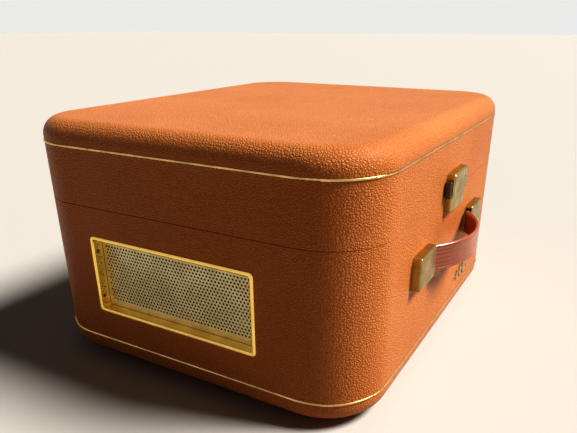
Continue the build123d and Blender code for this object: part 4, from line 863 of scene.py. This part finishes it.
def turned(name, bright, dull, rough, centre, rings_per_metre=900.0, metal=1.0, coat=0.0, depth=0.00003):
    """A surface with fine rings from a lathe about an upright axis."""
    finish, tree, shader, place = start_finish(name, rough, metal, coat)
    from_axis = add_node(tree, "ShaderNodeMapping", Vector=place, Location=(-centre[0], -centre[1], 0))
    apart = add_node(tree, "ShaderNodeSeparateXYZ", Vector=(from_axis, 0))
    square_x = maths(tree, "MULTIPLY", (apart, 0), (apart, 0))
    square_y = maths(tree, "MULTIPLY", (apart, 1), (apart, 1))
    radius = maths(tree, "SQRT", maths(tree, "ADD", square_x, square_y))
    lathe = add_node(tree, "ShaderNodeCombineXYZ", X=radius, Z=(apart, 2))
    rings = add_node(tree, "ShaderNodeTexNoise", Vector=(lathe, 0), Scale=rings_per_metre, Detail=3.0)
    mask = ramp(tree, (rings, 0), low=0.36, high=0.66)
    link(tree, blend_colour(tree, mask, dull, bright), shader.inputs["Base Color"])
    polish = maths(tree, "MULTIPLY_ADD", mask, 0.1)
    polish[0].inputs[2].default_value = rough
    link(tree, polish, shader.inputs["Roughness"])
    add_bump(tree, shader, (rings, 0), depth, strength=0.5)
    return finish


spindle_axis = (spindle_x, spindle_y)
platter_enamel = turned(
    "platter_enamel",
    (0.56, 0.47, 0.31, 1),
    (0.51, 0.43, 0.28, 1),
    rough=0.28,
    centre=spindle_axis,
    rings_per_metre=700.0,
    metal=0.0,
    coat=0.5,
)
paint_nodes(platter_enamel, "platter")
mat_rubber = turned(
    "mat_rubber",
    (0.085, 0.030, 0.016, 1),
    (0.060, 0.020, 0.011, 1),
    rough=0.66,
    centre=spindle_axis,
    rings_per_metre=1500.0,
    metal=0.0,
    coat=0.0,
    depth=0.00012,
)
paint_nodes(mat_rubber, "platter_mat")
spindle_chrome = turned(
    "spindle_chrome", (0.78, 0.78, 0.79, 1), (0.62, 0.62, 0.63, 1), rough=0.08, centre=spindle_axis
)
paint_nodes(spindle_chrome, "spindle")
bearing_brass = turned(
    "bearing_brass", (0.66, 0.48, 0.21, 1), (0.50, 0.35, 0.15, 1), rough=0.24, centre=spindle_axis
)
paint_nodes(bearing_brass, "platter_bearing")
wheel_low, wheel_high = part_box("idler_wheel")
idler_axis = ((wheel_low[0] + wheel_high[0]) / 2, (wheel_low[1] + wheel_high[1]) / 2)
idler_alloy = turned(
    "idler_alloy", (0.66, 0.66, 0.67, 1), (0.52, 0.52, 0.53, 1), rough=0.3, centre=idler_axis
)
paint_nodes(idler_alloy, "idler_wheel")
tyre_rubber = turned(
    "tyre_rubber",
    (0.030, 0.029, 0.028, 1),
    (0.018, 0.017, 0.017, 1),
    rough=0.7,
    centre=idler_axis,
    rings_per_metre=1500.0,
    metal=0.0,
)
paint_nodes(tyre_rubber, "idler_tyre")
paint_nodes(zinc, "idler_arm")

# ---------------------------------------------------------------- MOTOR
# A laminated steel core with a waxed coil and plated end brackets, under the unit plate. Its turned rotor carries
# a stepped brass pulley.

laminations = brushed(
    "laminations", (0.30, 0.29, 0.28, 1), (0.12, 0.11, 0.10, 1), rough=0.42, lines=(4.0, 4.0, 2200.0)
)
paint_nodes(laminations, "motor_core")
coil_wrap = felted(
    "waxed_coil_wrap", (0.34, 0.13, 0.035, 1), (0.22, 0.075, 0.020, 1), rough=0.5, fibres_per_metre=700.0
)
paint_nodes(coil_wrap, "motor_coil")
paint_nodes(zinc, "motor_brackets")
rotor_low, rotor_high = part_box("motor_rotor")
motor_axis = ((rotor_low[0] + rotor_high[0]) / 2, (rotor_low[1] + rotor_high[1]) / 2)
rotor_steel = turned(
    "rotor_steel", (0.56, 0.56, 0.57, 1), (0.40, 0.40, 0.41, 1), rough=0.26, centre=motor_axis
)
paint_nodes(rotor_steel, "motor_rotor")
pulley_brass = turned(
    "pulley_brass", (0.70, 0.52, 0.23, 1), (0.54, 0.39, 0.16, 1), rough=0.2, centre=motor_axis
)
paint_nodes(pulley_brass, "motor_pulley")

# ---------------------------------------------------------------- TONEARM
# A moulded cream arm with a dark cartridge, pivoted in a gilt yoke that turns on a moulded base, and the moulded
# rest that it is parked on.

arm_moulding = moulded("arm_moulding", (0.64, 0.54, 0.36, 1), (0.58, 0.48, 0.31, 1), rough=0.22, coat=0.5)
paint_nodes(arm_moulding, "tonearm", "tonearm_base", "arm_rest")
yoke_gilt = worked_metal(
    "yoke_gilt", (0.76, 0.58, 0.28, 1), (0.62, 0.46, 0.21, 1), rough=0.28, specks=400.0, dirt=0.2, edge=0.0006
)
paint_nodes(yoke_gilt, "tonearm_yoke")
cartridge_moulding = moulded(
    "cartridge_moulding", (0.030, 0.022, 0.018, 1), (0.020, 0.015, 0.012, 1), rough=0.22, coat=0.3
)
paint_nodes(cartridge_moulding, "cartridge")

# ---------------------------------------------------------------- AMPLIFIER
# A folded plated chassis on the case's floor with two glass valves and two transformers of laminated steel with
# waxed paper round their windings.

chassis_plating = brushed("chassis_plating", (0.56, 0.56, 0.54, 1), (0.42, 0.42, 0.40, 1), rough=0.34)
paint_nodes(chassis_plating, "amp_chassis")
core_sheets = brushed(
    "core_sheets", (0.16, 0.15, 0.14, 1), (0.06, 0.055, 0.05, 1), rough=0.45, lines=(4.0, 2200.0, 4.0)
)
paint_nodes(core_sheets, "transformer_cores")
winding_paper = felted(
    "winding_paper", (0.52, 0.36, 0.15, 1), (0.38, 0.24, 0.09, 1), rough=0.55, fibres_per_metre=1100.0
)
paint_nodes(winding_paper, "transformer_coils")

# Each bulb is clear below and silvered at its top
valve_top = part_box("valves")[1][2]
getter_foot, getter_full = valve_top - 0.020, valve_top - 0.008
valve_glass, tree, shader, place = start_finish("valve_glass", rough=0.04)
shader.inputs["Transmission Weight"].default_value = 1.0
shader.inputs["IOR"].default_value = 1.5
apart = add_node(tree, "ShaderNodeSeparateXYZ", Vector=place)
getter = ramp(tree, (apart, 2), getter_foot, getter_full)
body = blend_colour(tree, getter, (0.90, 0.93, 0.92, 1), (0.16, 0.16, 0.17, 1))
link(tree, body, shader.inputs["Base Color"])
tone = use_group(tree, mottle, place, Patches_per_metre=60.0, Specks_per_metre=600.0)
add_bump(tree, shader, (tone, "Fine"), depth=0.00004, strength=0.3)
paint_nodes(valve_glass, "valves")
